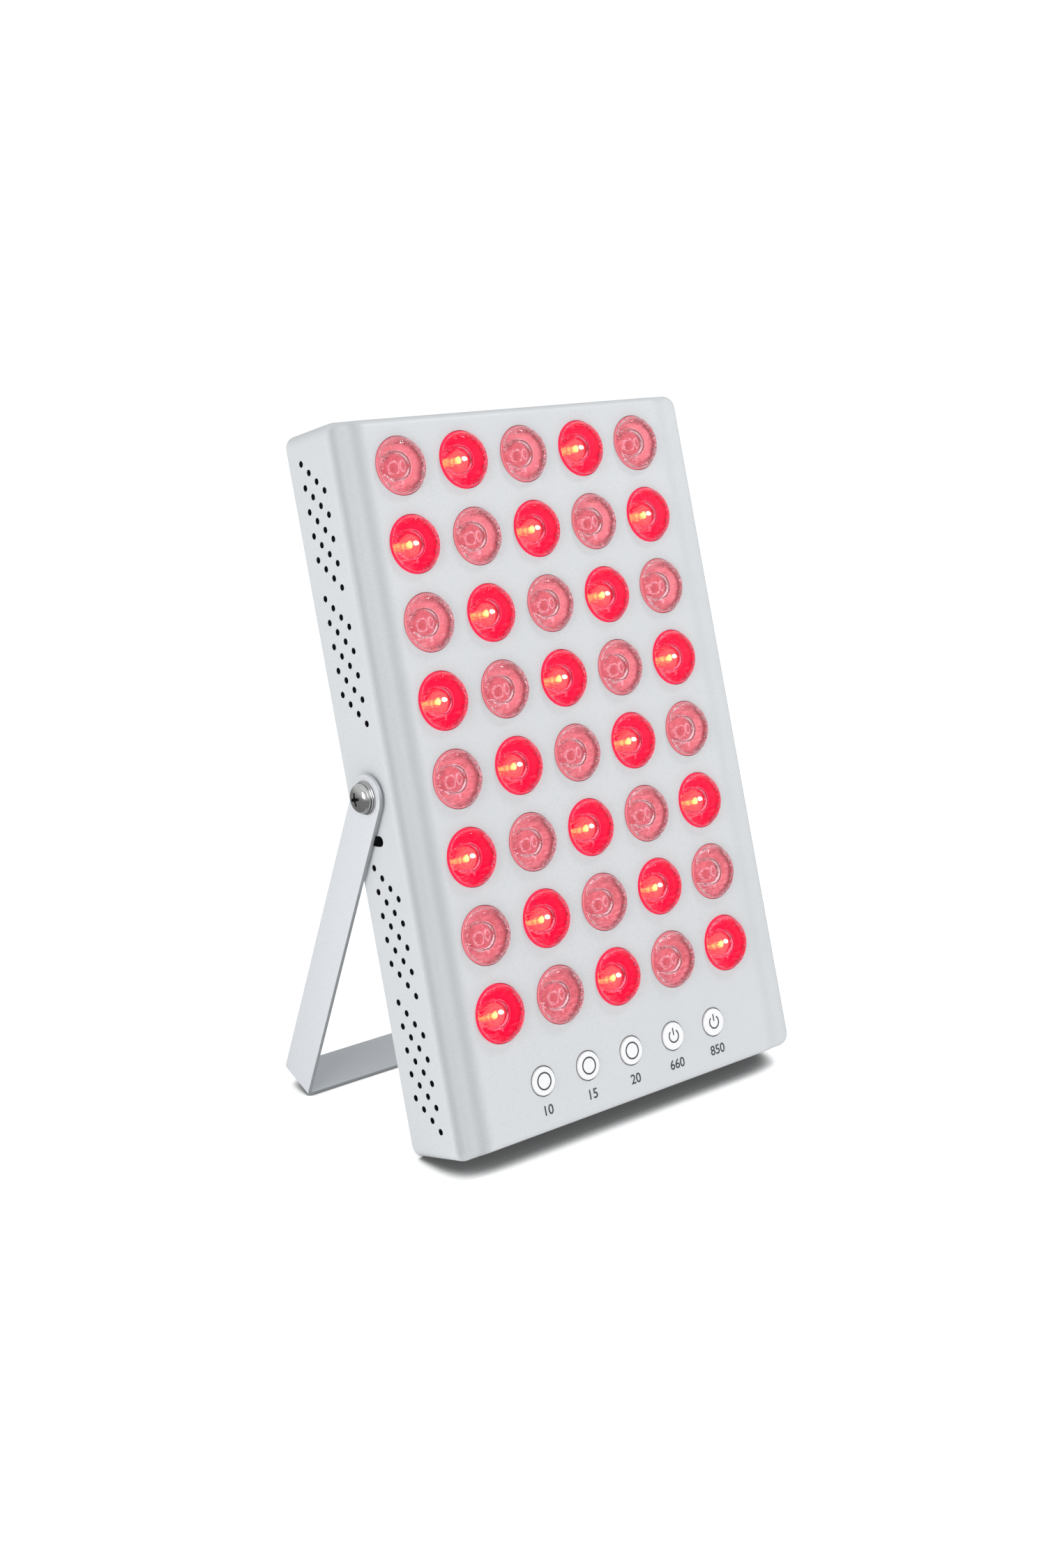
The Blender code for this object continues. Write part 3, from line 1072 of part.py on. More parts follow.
def make_leads(maker, finishes, case):
    """The leads inside the case, each from terminal to terminal."""
    supply_end = SUPPLY_WIDTH / 2 + GAP
    supply_middle = (SUPPLY_FRONT + SUPPLY_BACK) / 2
    supply_up = SUPPLY_MIDDLE
    supply_bottom = SUPPLY_BOTTOM - GAP
    supply_top = SUPPLY_TOP + GAP
    inlet_tip = FITTING_BACK - INLET_DEPTH - BLADE_LENGTH - GAP
    switch_tip = FITTING_BACK - SWITCH_DEPTH - BLADE_LENGTH - GAP
    inlet_inner = INLET_OFFSET - INLET_PIN_PITCH
    inlet_outer = INLET_OFFSET + INLET_PIN_PITCH
    switch_low = REAR_FITTINGS_PLACE - SWITCH_BLADE_PITCH / 2
    switch_high = REAR_FITTINGS_PLACE + SWITCH_BLADE_PITCH / 2
    turn_back = inlet_tip - LEAD_TURN
    board_foot = LENS_GRID_MIDDLE - BOARD_HEIGHT / 2
    board_terminal = board_foot + SINK_END_INSET / 2
    fan_foot = FAN_CENTRE_ABOVE_PIVOT - FAN_WIDTH / 2 - GAP
    fan_middle = COVER_FRONT - GAP - FAN_DEPTH / 2
    quarter = SUPPLY_WIDTH / 4
    control_back = CONTROL_FRONT + CONTROL_BOARD_SHEET + GAP
    control_terminal = BUTTON_HEIGHT_PLACE + CONTROL_BOARD_HEIGHT / 4
    front, back, up, down = (0, -1, 0), (0, 1, 0), (0, 0, 1), (0, 0, -1)
    left, right = (-1, 0, 0), (1, 0, 0)
    leads = {
        "switch_lead": (
            (inlet_inner, inlet_tip, REAR_FITTINGS_PLACE), front,
            (-INLET_OFFSET, switch_tip, switch_low), back,
            ((inlet_inner - LEAD_INSET, turn_back, switch_low),
             (-INLET_OFFSET + LEAD_INSET, turn_back, switch_low)),
        ),
        "supply_lead": (
            (-INLET_OFFSET, switch_tip, switch_high), front,
            (-supply_end, supply_middle, supply_up), right,
            ((-supply_end - LEAD_INSET, 0, supply_bottom), ),
        ),
        "neutral_lead": (
            (inlet_outer, inlet_tip, REAR_FITTINGS_PLACE), front,
            (supply_end, supply_middle, supply_up), left,
            ((supply_end + LEAD_INSET, 0, supply_bottom), ),
        ),
        "board_lead": (
            (quarter, supply_middle, supply_bottom), down,
            (quarter, BOARD_BACK + GAP, board_terminal), front,
            (),
        ),
        "fan_lead": (
            (-quarter, supply_middle, supply_top), up,
            (-quarter, fan_middle, fan_foot), up,
            (),
        ),
        "control_lead": (
            (-quarter, supply_middle, supply_bottom), down,
            (-quarter, control_back, control_terminal), front,
            (),
        ),
    }
    for name, (start, start_way, end, end_way, between) in leads.items():
        points = lead_route(start, start_way, end, end_way, between)
        maker.piece(name, smooth(wire_mesh(name, points, LEAD_DIAMETER)), finishes["lead"], case)


def stand_on_floor(root, parts):
    """Move the whole part so that the bottom centre of its bounding box is the origin."""
    bpy.context.view_layer.update()
    graph = bpy.context.evaluated_depsgraph_get()
    points = []
    for thing in parts:
        if thing.type == "MESH":
            solid = thing.evaluated_get(graph)
            points += [solid.matrix_world @ vertex.co for vertex in solid.data.vertices]
    low = [min(point[i] for point in points) for i in range(3)]
    high = [max(point[i] for point in points) for i in range(3)]
    root.location = (-(low[0] + high[0]) / 2, -(low[1] + high[1]) / 2, -low[2])


def build():
    """Make every piece, lean the case back and stand it on the floor."""
    clear_scene()
    maker = Maker()
    finishes = make_finishes()
    root = maker.empty("root")
    case = maker.empty("case_frame", root, turn=(-CASE_LEAN, 0, 0))
    hinge = maker.empty("stand_hinge", case, turn=(stand_opening(), 0, 0))
    make_front_housing(maker, finishes, case)
    make_rear_cover(maker, finishes, case)
    make_lens_rows(maker, finishes, case)
    make_led_board(maker, finishes, case)
    make_heat_sink(maker, finishes, case)
    make_buttons(maker, finishes, case)
    make_control_board(maker, finishes, case)
    make_fan(maker, finishes, case)
    make_fan_guard(maker, finishes, case)
    make_power_supply(maker, finishes, case)
    make_mains_inlet(maker, finishes, case)
    make_main_switch(maker, finishes, case)
    make_leads(maker, finishes, case)
    make_screws(maker, finishes, case)
    make_pivots(maker, finishes, case)
    make_stand(maker, finishes, hinge)
    stand_on_floor(root, maker.parts.objects)


build()
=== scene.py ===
"""The red light therapy panel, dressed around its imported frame.

Shapes are worked out in millimetres, in the frame of the case or of the stand: the origin is the middle
of the pivot axis, x runs to the right, y towards the back and z up. placed() carries them to metres.
"""

import math

import bmesh
import bpy
import numpy as np
from mathutils import Matrix, Vector


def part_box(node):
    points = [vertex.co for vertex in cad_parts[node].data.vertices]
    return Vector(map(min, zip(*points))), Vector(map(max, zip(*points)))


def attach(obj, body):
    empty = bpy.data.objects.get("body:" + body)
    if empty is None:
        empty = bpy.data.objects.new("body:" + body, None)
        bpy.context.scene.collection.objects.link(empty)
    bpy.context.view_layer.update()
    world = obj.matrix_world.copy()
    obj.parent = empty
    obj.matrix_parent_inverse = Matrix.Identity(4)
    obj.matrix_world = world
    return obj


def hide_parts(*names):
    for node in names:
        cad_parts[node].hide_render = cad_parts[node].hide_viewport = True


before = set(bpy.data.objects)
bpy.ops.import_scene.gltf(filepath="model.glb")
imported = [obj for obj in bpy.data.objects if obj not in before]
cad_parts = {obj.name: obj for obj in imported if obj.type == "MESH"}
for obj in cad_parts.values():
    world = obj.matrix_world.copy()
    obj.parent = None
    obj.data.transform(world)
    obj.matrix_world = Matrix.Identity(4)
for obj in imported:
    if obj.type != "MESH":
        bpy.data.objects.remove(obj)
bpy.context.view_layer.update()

MM = 0.001
FULL_TURN = 2 * math.pi
QUARTER_TURN = math.pi / 2
MERGE = 0.0004

# Sizes of the case, as in the frame
SIDE, TOP, FRONT, BACK = 101.0, 158.0, -17.5, 17.5
SHEET, GAP = 1.2, 0.3
CORNER_RADIUS, EDGE_RADIUS = 6.0, 4.75
LENS_HOLE, BUTTON_HOLE, VENT_HOLE, PIVOT_HOLE, SCREW_HOLE = 13.0, 6.75, 1.45, 3.3, 1.8
COVER_FRONT, COVER_SCREW_SIDE, COVER_SCREW_ROWS = 16.3, 93.8, (-142.0, 0.0, 142.0)
TAB_BACK, TAB_FRONT = 16.0, 14.5
ALL_THROUGH = SIDE + 4.0
PAST_FRONT, PAST_COVER = (12.0, 22.0), (14.0, 20.0)
CASE_LEAN = math.radians(18)

# Lenses
LENS_ROWS, LENS_COLUMNS = 8, 5
LENS_PITCH, LENS_TOP_ROW = 34.0, 136.5
LENS_RADIUS, LENS_RIM, LENS_CROWN = 12.7, 18.5, 23.5
STRIP_WIDTH, STRIP_HEIGHT, STRIP_HOLE = 165.4, 29.4, 11.5
STRIP_BACK, STRIP_FRONT = 14.5, 16.0

# Buttons, left to right
BUTTONS = ("timer_10", "timer_15", "timer_20", "power_660", "power_850")
BUTTON_LABELS = ("10", "15", "20", "660", "850")
BUTTON_PITCH, BUTTON_UP = 25.8, -135.3
BUTTON_RADIUS, BUTTON_FACE = 6.2, 18.4
FIGURES_UP, FIGURES_HEIGHT = 7.9 - TOP, 4.4

# Stand
ARM_INSIDE, STRAP_SHEET, STRAP_WIDTH = 102.2, 2.0, 20.0
STAND_REACH = math.hypot(TOP, BACK) + 3.0
STOP_RADIUS, STOP_SLOT_WIDTH = 19.5, 4.6
ARM_OUTSIDE = ARM_INSIDE + STRAP_SHEET

# Rear
FAN_UP, FAN_WIDTH, FAN_BORE, FAN_SCREWS = 45.0, 80.0, 76.0, 35.75
FAN_HUB = FAN_BORE * 0.395 / 2
FITTING_BACK = BACK + GAP
INLET_ACROSS, FITTINGS_UP = 60.0, -114.0

# Studio, in metres
FLOOR_REACH = 12.0


# ---------------------------------------------------------------- frames

def leaning(angle):
    """Directions x, y and z, one a row, of a frame turned by an angle about x."""
    c, s = math.cos(angle), math.sin(angle)
    return np.array(((1, 0, 0), (0, c, s), (0, -s, c)))


def stand_opening():
    """The angle between the arms and the case when both stand on the floor."""
    pivot_height = TOP * math.cos(CASE_LEAN) + BACK * math.sin(CASE_LEAN)
    half = STRAP_WIDTH / 2
    reach = math.hypot(STAND_REACH, half)
    return CASE_LEAN + math.atan2(half, STAND_REACH) + math.acos(pivot_height / reach)


CASE = leaning(-CASE_LEAN)
HINGE = leaning(stand_opening() - CASE_LEAN)
screw_low, screw_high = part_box("pivot_screw_left")
PIVOT = np.array((0, (screw_low.y + screw_high.y) / 2, (screw_low.z + screw_high.z) / 2))

# Where a shape's own x, y and z point when its z faces that way
TO_FRONT = np.array(((1, 0, 0), (0, 0, 1), (0, -1, 0)))
TO_BACK = np.array(((-1, 0, 0), (0, 0, 1), (0, 1, 0)))
TO_LEFT = np.array(((0, -1, 0), (0, 0, 1), (-1, 0, 0)))
TO_RIGHT = np.array(((0, 1, 0), (0, 0, 1), (1, 0, 0)))
SIDES = (("left", TO_LEFT, -1), ("right", TO_RIGHT, 1))


# ---------------------------------------------------------------- shapes

class Shape:
    """Points in millimetres, faces over them as arrays, and a finish number for each array.

    "place" is each point's place in a pattern of the shape's own, which materials read as an attribute.
    """

    def __init__(self, points, chunks, place=None):
        self.points = np.asarray(points, float).reshape(-1, 3)
        self.chunks = chunks
        self.place = self.points.copy() if place is None else place

    def facing(self, axes):
        return Shape(self.points @ axes, self.chunks, self.place)

    def moved(self, x=0.0, y=0.0, z=0.0):
        return Shape(self.points + np.array((x, y, z)), self.chunks, self.place)

    def spun(self, angle):
        """Turned about z."""
        c, s = math.cos(angle), math.sin(angle)
        return Shape(self.points @ np.array(((c, s, 0), (-s, c, 0), (0, 0, 1))), self.chunks, self.place)

    def finished(self, number):
        return Shape(self.points, [(faces, number) for faces, _ in self.chunks], self.place)

    def __add__(self, other):
        count = len(self.points)
        chunks = self.chunks + [(faces + count, number) for faces, number in other.chunks]
        return Shape(np.vstack((self.points, other.points)), chunks, np.vstack((self.place, other.place)))

    def __radd__(self, other):
        """Lets sum() start from 0."""
        return self


def sheet_of(points, round_rows=False, round_columns=False, place=None):
    """A surface over a grid of points (rows, columns, 3), closed on itself where it goes round."""
    rows, columns = points.shape[:2]
    index = np.arange(rows * columns).reshape(rows, columns)
    if round_rows:
        index = np.vstack((index, index[:1]))
    if round_columns:
        index = np.hstack((index, index[:, :1]))
    quads = np.stack((index[:-1, :-1], index[1:, :-1], index[1:, 1:], index[:-1, 1:]), -1).reshape(-1, 4)
    return Shape(points.reshape(-1, 3), [(quads, 0)], place)


def turned(profile, sides):
    """A surface turned about z: each profile point (radius, height) goes once round the axis."""
    profile = np.asarray(profile, float)
    angle = np.linspace(0, FULL_TURN, sides, endpoint=False)
    radius, height = profile[:, :1], profile[:, 1:]
    points = np.stack((radius * np.cos(angle), radius * np.sin(angle), height + 0 * angle), -1)
    return sheet_of(points, round_columns=True)


def arc(centre, radius, start, end, steps):
    """Points (2) along an arc, by angle in quarter turns."""
    angle = np.linspace(start, end, steps + 1) * QUARTER_TURN
    return np.stack((centre[0] + radius * np.cos(angle), centre[1] + radius * np.sin(angle)), -1)


def rounded_rectangle(width, height, radius, steps, centre=(0, 0)):
    """Outline (n, 2) of a rectangle with round corners, anticlockwise from its right side."""
    across, up = width / 2 - radius, height / 2 - radius
    corners = [(across, up), (-across, up), (-across, -up), (across, -up)]
    return np.vstack([arc(c, radius, k, k + 1, steps) for k, c in enumerate(corners)]) + centre


def rod_outline(radius, sides, centre=(0, 0)):
    """Outline (n, 2) of a circle."""
    angle = np.linspace(0, FULL_TURN, sides, endpoint=False)
    return np.stack((np.cos(angle), np.sin(angle)), -1) * radius + centre


def at_level(outline, level):
    """The points (n, 3) of an outline (n, 2) at one height."""
    return np.column_stack((outline, np.full(len(outline), level)))


def prism(outline, low, high):
    """An outline (n, 2) carried along z from low to high, with a flat end on each."""
    count = len(outline)
    points = np.vstack((at_level(outline, low), at_level(outline, high)))
    near = np.arange(count)
    sides = np.stack((near, np.roll(near, -1), np.roll(near, -1) + count, near + count), -1)
    return Shape(points, [(sides, 0), (near[None, ::-1], 0), (near[None] + count, 0)])


def rod(radius, sides, low, high, centre=(0, 0)):
    """A round bar along z."""
    return prism(rod_outline(radius, sides, centre), low, high)


def plate(width, height, radius, steps, low, high, centre=(0, 0)):
    """A flat bar along z with round corners."""
    return prism(rounded_rectangle(width, height, radius, steps, centre), low, high)


def soft_plate(width, height, radius, steps, low, high, edge):
    """The same with rounded end edges: drawn in by e (1 - sin a) at e (1 - cos a) from each end."""
    angle = np.linspace(0, QUARTER_TURN, 4)
    insets = edge * (1 - np.sin(angle))
    rises = edge * (1 - np.cos(angle))
    levels = [*zip(low + rises, insets), *zip((high - rises)[::-1], insets[::-1])]
    outlines = [rounded_rectangle(width - 2 * i, height - 2 * i, radius - i, steps) for _, i in levels]
    rings = np.stack([at_level(outline, z) for outline, (z, _) in zip(outlines, levels)])
    body = sheet_of(rings, round_columns=True)
    count = rings.shape[1]
    near = np.arange(count)[None]
    return Shape(body.points, body.chunks + [(near[:, ::-1], 0), (near + count * (len(levels) - 1), 0)])


def tube(path, radius, sides, closed=False):
    """A round wire: a circle of that radius carried along the path (n, 3), square to it."""
    path = np.asarray(path, float)
    if closed:
        ahead = np.roll(path, -1, 0) - np.roll(path, 1, 0)
    else:
        ahead = np.gradient(path, axis=0)
    ahead /= np.linalg.norm(ahead, axis=1, keepdims=True)
    across = np.cross(ahead, (0.13, 0.31, 0.94))
    across /= np.linalg.norm(across, axis=1, keepdims=True)
    over = np.cross(ahead, across)
    angle = np.linspace(0, FULL_TURN, sides, endpoint=False)[:, None]
    rings = path[:, None] + radius * (across[:, None] * np.cos(angle) + over[:, None] * np.sin(angle))
    if closed:
        return sheet_of(rings, round_rows=True, round_columns=True)
    ends = np.stack((np.repeat(path[:1], sides, 0), np.repeat(path[-1:], sides, 0)))
    return sheet_of(np.concatenate((ends[:1], rings, ends[1:])), round_columns=True)


def mesh_of(name, shape):
    """The shape as a mesh, still in millimetres: doubles merged, faces outward."""
    mesh = bpy.data.meshes.new(name)
    faces = [face for chunk, _ in shape.chunks for face in chunk.tolist()]
    mesh.from_pydata(shape.points.tolist(), [], faces)
    numbers = np.concatenate([np.full(len(chunk), number) for chunk, number in shape.chunks])
    mesh.polygons.foreach_set("material_index", numbers.astype(np.int32))
    place = mesh.attributes.new("place", "FLOAT_VECTOR", "POINT")
    place.data.foreach_set("vector", shape.place.ravel().astype(np.float32))
    return cleaned(mesh)


def cleaned(mesh):
    """The same mesh with its doubles merged and its faces turned outward."""
    bm = bmesh.new()
    bm.from_mesh(mesh)
    bmesh.ops.remove_doubles(bm, verts=bm.verts, dist=MERGE)
    bmesh.ops.recalc_face_normals(bm, faces=bm.faces)
    bm.to_mesh(mesh)
    bm.free()
    return mesh


def new_object(name, data):
    """An object in the scene."""
    thing = bpy.data.objects.new(name, data)
    bpy.context.scene.collection.objects.link(thing)
    return thing


def evaluated(thing):
    """A mesh of the object as it comes out of its modifiers."""
    bpy.context.view_layer.update()
    return bpy.data.meshes.new_from_object(thing.evaluated_get(bpy.context.evaluated_depsgraph_get()))


def worked(shape, *steps):
    """A mesh of the shape after modifiers, each (kind, settings); a mesh among them is the tool."""
    things = [new_object("work", mesh_of("work", shape))]
    for kind, settings in steps:
        step = things[0].modifiers.new(kind, kind)
        for name, value in settings.items():
            if isinstance(value, bpy.types.Mesh):
                value = new_object("tool", value)
                things.append(value)
            setattr(step, name, value)
    result = evaluated(things[0])
    for thing in things:
        bpy.data.objects.remove(thing)
    return result


def cut(tool, operation="DIFFERENCE"):
    """A Boolean step for worked()."""
    return "BOOLEAN", {"object": mesh_of("tool", tool), "operation": operation, "solver": "EXACT"}


def bevelled(width, segments=2, degrees=30):
    """A step for worked() that rounds the sharp edges."""
    return "BEVEL", {"width": width, "segments": segments, "limit_method": "ANGLE",
                     "angle_limit": math.radians(degrees), "use_clamp_overlap": True}


def carrying(axes, place=(0, 0, 0)):
    """The matrix that carries a point's x, y and z along the rows of axes, and then to a place."""
    return Matrix((*((*column, shift) for column, shift in zip(axes.T.tolist(), place)), (0, 0, 0, 1)))


def placed(name, piece, finishes, body="case", stands_for=None, axes=CASE, sharp=35, at=None):
    """Carry a shape or mesh from its frame in millimetres to its place, and let it ride on its body."""
    mesh = mesh_of(name, piece) if isinstance(piece, Shape) else piece
    if at:
        mesh.transform(at)
    mesh.transform(carrying(axes * MM, PIVOT))
    mesh.shade_smooth()
    mesh.set_sharp_from_angle(angle=math.radians(sharp))
    for finish in finishes.split():
        mesh.materials.append(FINISH[finish])
    thing = new_object(name, mesh)
    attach(thing, body)
    if stands_for:
        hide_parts(stands_for)


# ---------------------------------------------------------------- materials

class Value:
    """What a socket of a node tree gives. Arithmetic on it adds the nodes that do the sums."""

    def __init__(self, socket):
        self.socket, self.tree = socket, socket.id_data

    def feed(self, socket):
        self.tree.links.new(self.socket, socket)

    def __add__(self, other):
        return maths("ADD", self, other)

    def __radd__(self, other):
        return maths("ADD", other, self)

    def __sub__(self, other):
        return maths("SUBTRACT", self, other)

    def __rsub__(self, other):
        return maths("SUBTRACT", other, self)

    def __mul__(self, other):
        return maths("MULTIPLY", self, other)

    def __rmul__(self, other):
        return maths("MULTIPLY", other, self)

    def __truediv__(self, other):
        return maths("DIVIDE", self, other)

    def __rtruediv__(self, other):
        return maths("DIVIDE", other, self)


def node(tree, kind, inputs=None, **settings):
    """A node with its settings, and each input given as a constant or as the value that feeds it."""
    made = tree.nodes.new(kind if kind.startswith("Node") else "ShaderNode" + kind)
    for name, setting in settings.items():
        setattr(made, name, setting)
    for name, given in (inputs or {}).items():
        if isinstance(given, Value):
            given.feed(made.inputs[name])
        else:
            made.inputs[name].default_value = given
    return made


def value(tree, kind, inputs=None, output=0, **settings):
    """What a new node gives."""
    return Value(node(tree, kind, inputs, **settings).outputs[output])


def maths(operation, a, b=0.0, c=0.0):
    """The result of one sum on numbers and values."""
    tree = (a if isinstance(a, Value) else b).tree
    return value(tree, "Math", {0: a, 1: b, 2: c}, operation=operation)


def times(vector, factors):
    """A vector multiplied axis by axis."""
    return value(vector.tree, "VectorMath", {0: vector, 1: factors}, operation="MULTIPLY")


def length(vector):
    """A vector's length."""
    return value(vector.tree, "VectorMath", {0: vector}, "Value", operation="LENGTH")


def parts(vector):
    """A vector's x, y and z."""
    return [Value(socket) for socket in node(vector.tree, "SeparateXYZ", {0: vector}).outputs]


def object_place(tree):
    """The place in the object, in metres."""
    return value(tree, "TexCoord", output="Object")


def noise(place, scale=1.0, detail=3.0, **more):
    """Noise from 0 to 1 at a place."""
    return value(place.tree, "TexNoise", {"Vector": place, "Scale": scale, "Detail": detail, **more})


def mixed(factor, a, b):
    """Two colours mixed by a factor."""
    return value(factor.tree, "Mix", {0: factor, 6: a, 7: b}, 2, data_type="RGBA")


def ramp(factor, *stops):
    """A value through stops of (position, level or colour), eased between them."""
    made = node(factor.tree, "ValToRGB", {"Fac": factor})
    elements = made.color_ramp.elements
    made.color_ramp.interpolation = "EASE"
    while len(elements) < len(stops):
        elements.new(0.5)
    for element, (position, level) in zip(elements, stops):
        element.position = position
        element.color = (level, level, level, 1) if isinstance(level, float) else (*level, 1)
    return Value(made.outputs[0])


def new_group(name, inputs):
    """An empty group that gives colour, roughness and height; its inputs, and the place in the object."""
    group = bpy.data.node_groups.new(name, "ShaderNodeTree")
    for label, default in inputs.items():
        kind = "Float" if isinstance(default, float) else "Color" if len(default) == 4 else "Vector"
        socket = group.interface.new_socket(label, in_out="INPUT", socket_type="NodeSocket" + kind)
        socket.default_value = default
    for label, kind in (("Colour", "Color"), ("Roughness", "Float"), ("Height", "Float")):
        group.interface.new_socket(label, in_out="OUTPUT", socket_type="NodeSocket" + kind)
    given = {socket.name: Value(socket) for socket in node(group, "NodeGroupInput").outputs}
    return group, given, object_place(group)


def uneven(given, pattern):
    """The group's roughness, spread about its mean by a pattern."""
    return given["Roughness"] + (pattern - 0.5) * (given["Roughness Spread"] * 2.0)


def grain_group():
    """A moulded or painted surface: grain and clouds of noise change colour, roughness and height."""
    group, given, place = new_group(
        "surface_grain",
        {"Colour": (0.7, 0.7, 0.7, 1), "Fleck": (0.6, 0.6, 0.6, 1), "Fleck Amount": 0.2,
         "Grain Size": 0.7, "Cloud Size": 60.0, "Roughness": 0.5, "Roughness Spread": 0.08})
    fine = noise(place, 1000.0 / given["Grain Size"])
    peel = value(group, "TexVoronoi", {"Vector": place, "Scale": 700.0 / given["Grain Size"]},
                 feature="SMOOTH_F1")
    cloud = noise(place, 1000.0 / given["Cloud Size"], 4.0, Roughness=0.6)
    spots = ramp(fine, (0.42, 0.0), (0.7, 1.0)) * given["Fleck Amount"]
    haze = ramp(cloud, (0.35, 0.0), (0.75, 1.0)) * given["Fleck Amount"]
    blotch = maths("MAXIMUM", spots, haze * 0.6)
    node(group, "NodeGroupOutput", {"Colour": mixed(blotch, given["Colour"], given["Fleck"]),
                                    "Roughness": uneven(given, cloud), "Height": fine * 0.5 + peel})
    return group


def brushed_group():
    """Brushed or drawn metal: noise stretched along one direction changes tone, roughness and height."""
    group, given, place = new_group(
        "brushed_metal", {"Colour": (0.6, 0.6, 0.6, 1), "Stroke": (1.0, 1.0, 1.0), "Tone": 0.2,
                          "Roughness": 0.3, "Roughness Spread": 0.15})
    lines = noise(times(place, given["Stroke"]), 1.0, 5.0)
    shade = mixed(lines * given["Tone"], given["Colour"], (0.08, 0.08, 0.085, 1))
    node(group, "NodeGroupOutput", {"Colour": shade, "Roughness": uneven(given, noise(place, 90.0)),
                                    "Height": lines})
    return group


GRAIN, BRUSHED = grain_group(), brushed_group()


def new_material(name, constants):
    """A material, and its shader's inputs with the constants set on them."""
    material = bpy.data.materials.new(name)
    material.use_nodes = True
    shader = material.node_tree.nodes["Principled BSDF"].inputs
    for label, constant in constants.items():
        shader[label].default_value = constant
    return material, shader


def bump(height, depth, shader):
    """Height in, the shader's normal out; depth in metres."""
    slopes = value(height.tree, "Bump", {"Height": height, "Distance": depth, "Strength": 1.0})
    slopes.feed(shader["Normal"])


def surfaced(name, group, given, depth, **constants):
    """A material fed by one of the groups, with constants set on the shader itself."""
    material, shader = new_material(name, constants)
    made = node(material.node_tree, "Group", given, node_tree=group)
    colour, roughness, height = (Value(socket) for socket in made.outputs)
    colour.feed(shader["Base Color"])
    roughness.feed(shader["Roughness"])
    bump(height, depth, shader)
    material.diffuse_color = given["Colour"]
    return material


def grained(name, colour, fleck, amount, grain, cloud, roughness, spread, depth):
    """A material of the grain group; the sizes of grain and cloud in millimetres."""
    return surfaced(name, GRAIN, {"Colour": (*colour, 1), "Fleck": (*fleck, 1), "Fleck Amount": amount,
                                  "Grain Size": grain, "Cloud Size": cloud, "Roughness": roughness,
                                  "Roughness Spread": spread}, depth)


def painted(name, colour, fleck):
    """Powder-coated sheet: a fine orange peel and faint flecks."""
    return grained(name, colour, fleck, 0.7, 0.8, 90.0, 0.42, 0.1, 0.00005)


def moulded(name, colour, fleck, roughness, amount=0.3, grain=0.5):
    """Moulded plastic with a spark-eroded grain."""
    return grained(name, colour, fleck, amount, grain, 25.0, roughness, 0.12, 0.00002)


def metal(name, colour, strokes, tone, roughness, spread=0.12):
    """Bare metal with strokes; strokes gives the noise's scale along each axis."""
    return surfaced(name, BRUSHED, {"Colour": (*colour, 1), "Stroke": strokes, "Tone": tone,
                                    "Roughness": roughness, "Roughness Spread": spread}, 0.000008,
                    Metallic=1.0)


def repainted(material, change):
    """The material with its colour put through change(colour, x, y, z), the place in the object."""
    tree = material.node_tree
    socket = tree.nodes["Principled BSDF"].inputs["Base Color"]
    change(Value(socket.links[0].from_socket), *parts(object_place(tree))).feed(socket)
    return material


def strip_painted_shade(coat, x, y, z):
    """Painted shade: a little darker along the lowered strips beside the front's field, most of all on the
    left, where the slope turns away from the light.
    """
    side = maths("ABSOLUTE", x) / (SIDE * MM)
    strip = ramp(side, (0.81, 0.0), (0.875, 0.85), (0.915, 0.45), (0.955, 0.55), (0.985, 1.0))
    facing = parts(value(x.tree, "NewGeometry", output="Normal"))[1]
    to_front = ramp(facing * -1.0, (0.23, 0.0), (0.76, 1.0))
    amount = 0.35 - 0.28 * maths("GREATER_THAN", x, 0.0)
    return mixed(strip * to_front * amount, coat, (0.1, 0.11, 0.12, 1))


STAND_COAT = (0.69, 0.715, 0.74)


def edge_painted_shade(coat, x, y, z):
    """Painted shade on the strap's cut edges, which face away from the light; it fades to the coat round
    the arms' tops, which face up into the light.
    """
    over_pivot = (z - float(PIVOT[2])) / (STRAP_WIDTH / 2 * MM)
    return mixed(ramp(over_pivot, (0.0, 0.0), (0.85, 1.0)), coat, (*STAND_COAT, 1))


def lens_place(tree):
    """The place in a lens, in millimetres from its middle."""
    return value(tree, "Attribute", output="Vector", attribute_name="place")


def spot(place, centre, radius, squeeze=(1, 1, 1)):
    """1 at a centre in the lens, falling to 0 at the radius; squeeze narrows it by axis."""
    apart = value(place.tree, "VectorMath", {0: place, 1: (*centre, 0)}, operation="SUBTRACT")
    return 1.0 - length(times(apart, squeeze)) / radius


def streaks(place, count, fineness):
    """Noise that runs out from the lens's middle in narrow rays."""
    x, y, _ = parts(place)
    return noise(value(place.tree, "CombineXYZ", {0: maths("ARCTAN2", y, x) * count,
                                                  1: length(place) * fineness, 2: 0.0}))


def ring(place, centre, radius, width, squeeze):
    """1 on a ring about a centre, easing to 0 within its width."""
    off = maths("ABSOLUTE", spot(place, centre, radius, squeeze))
    return ramp(off / (width / radius), (0.2, 1.0), (1.0, 0.0))


def flow_lines_and_painted_glint(place, strength):
    """Pale, nearly level lines where the plastic flowed, on the cup's outer half, and a painted glint, a
    window's reflection.
    """
    lines = noise(times(place, (0.10, 0.75, 0.0)), 1.0, 4.0, Distortion=0.6)
    outer = ramp(length(place) / LENS_RADIUS, (0.48, 0.0), (0.68, strength))
    pale = ramp(lines, (0.52, 0.0), (0.64, 1.0)) * outer
    glint = ramp(spot(place, (0.1, -6.6), 0.9, (1.15, 1.0, 1)), (0.0, 0.0), (0.5, 1.0))
    return maths("MAXIMUM", pale, glint)


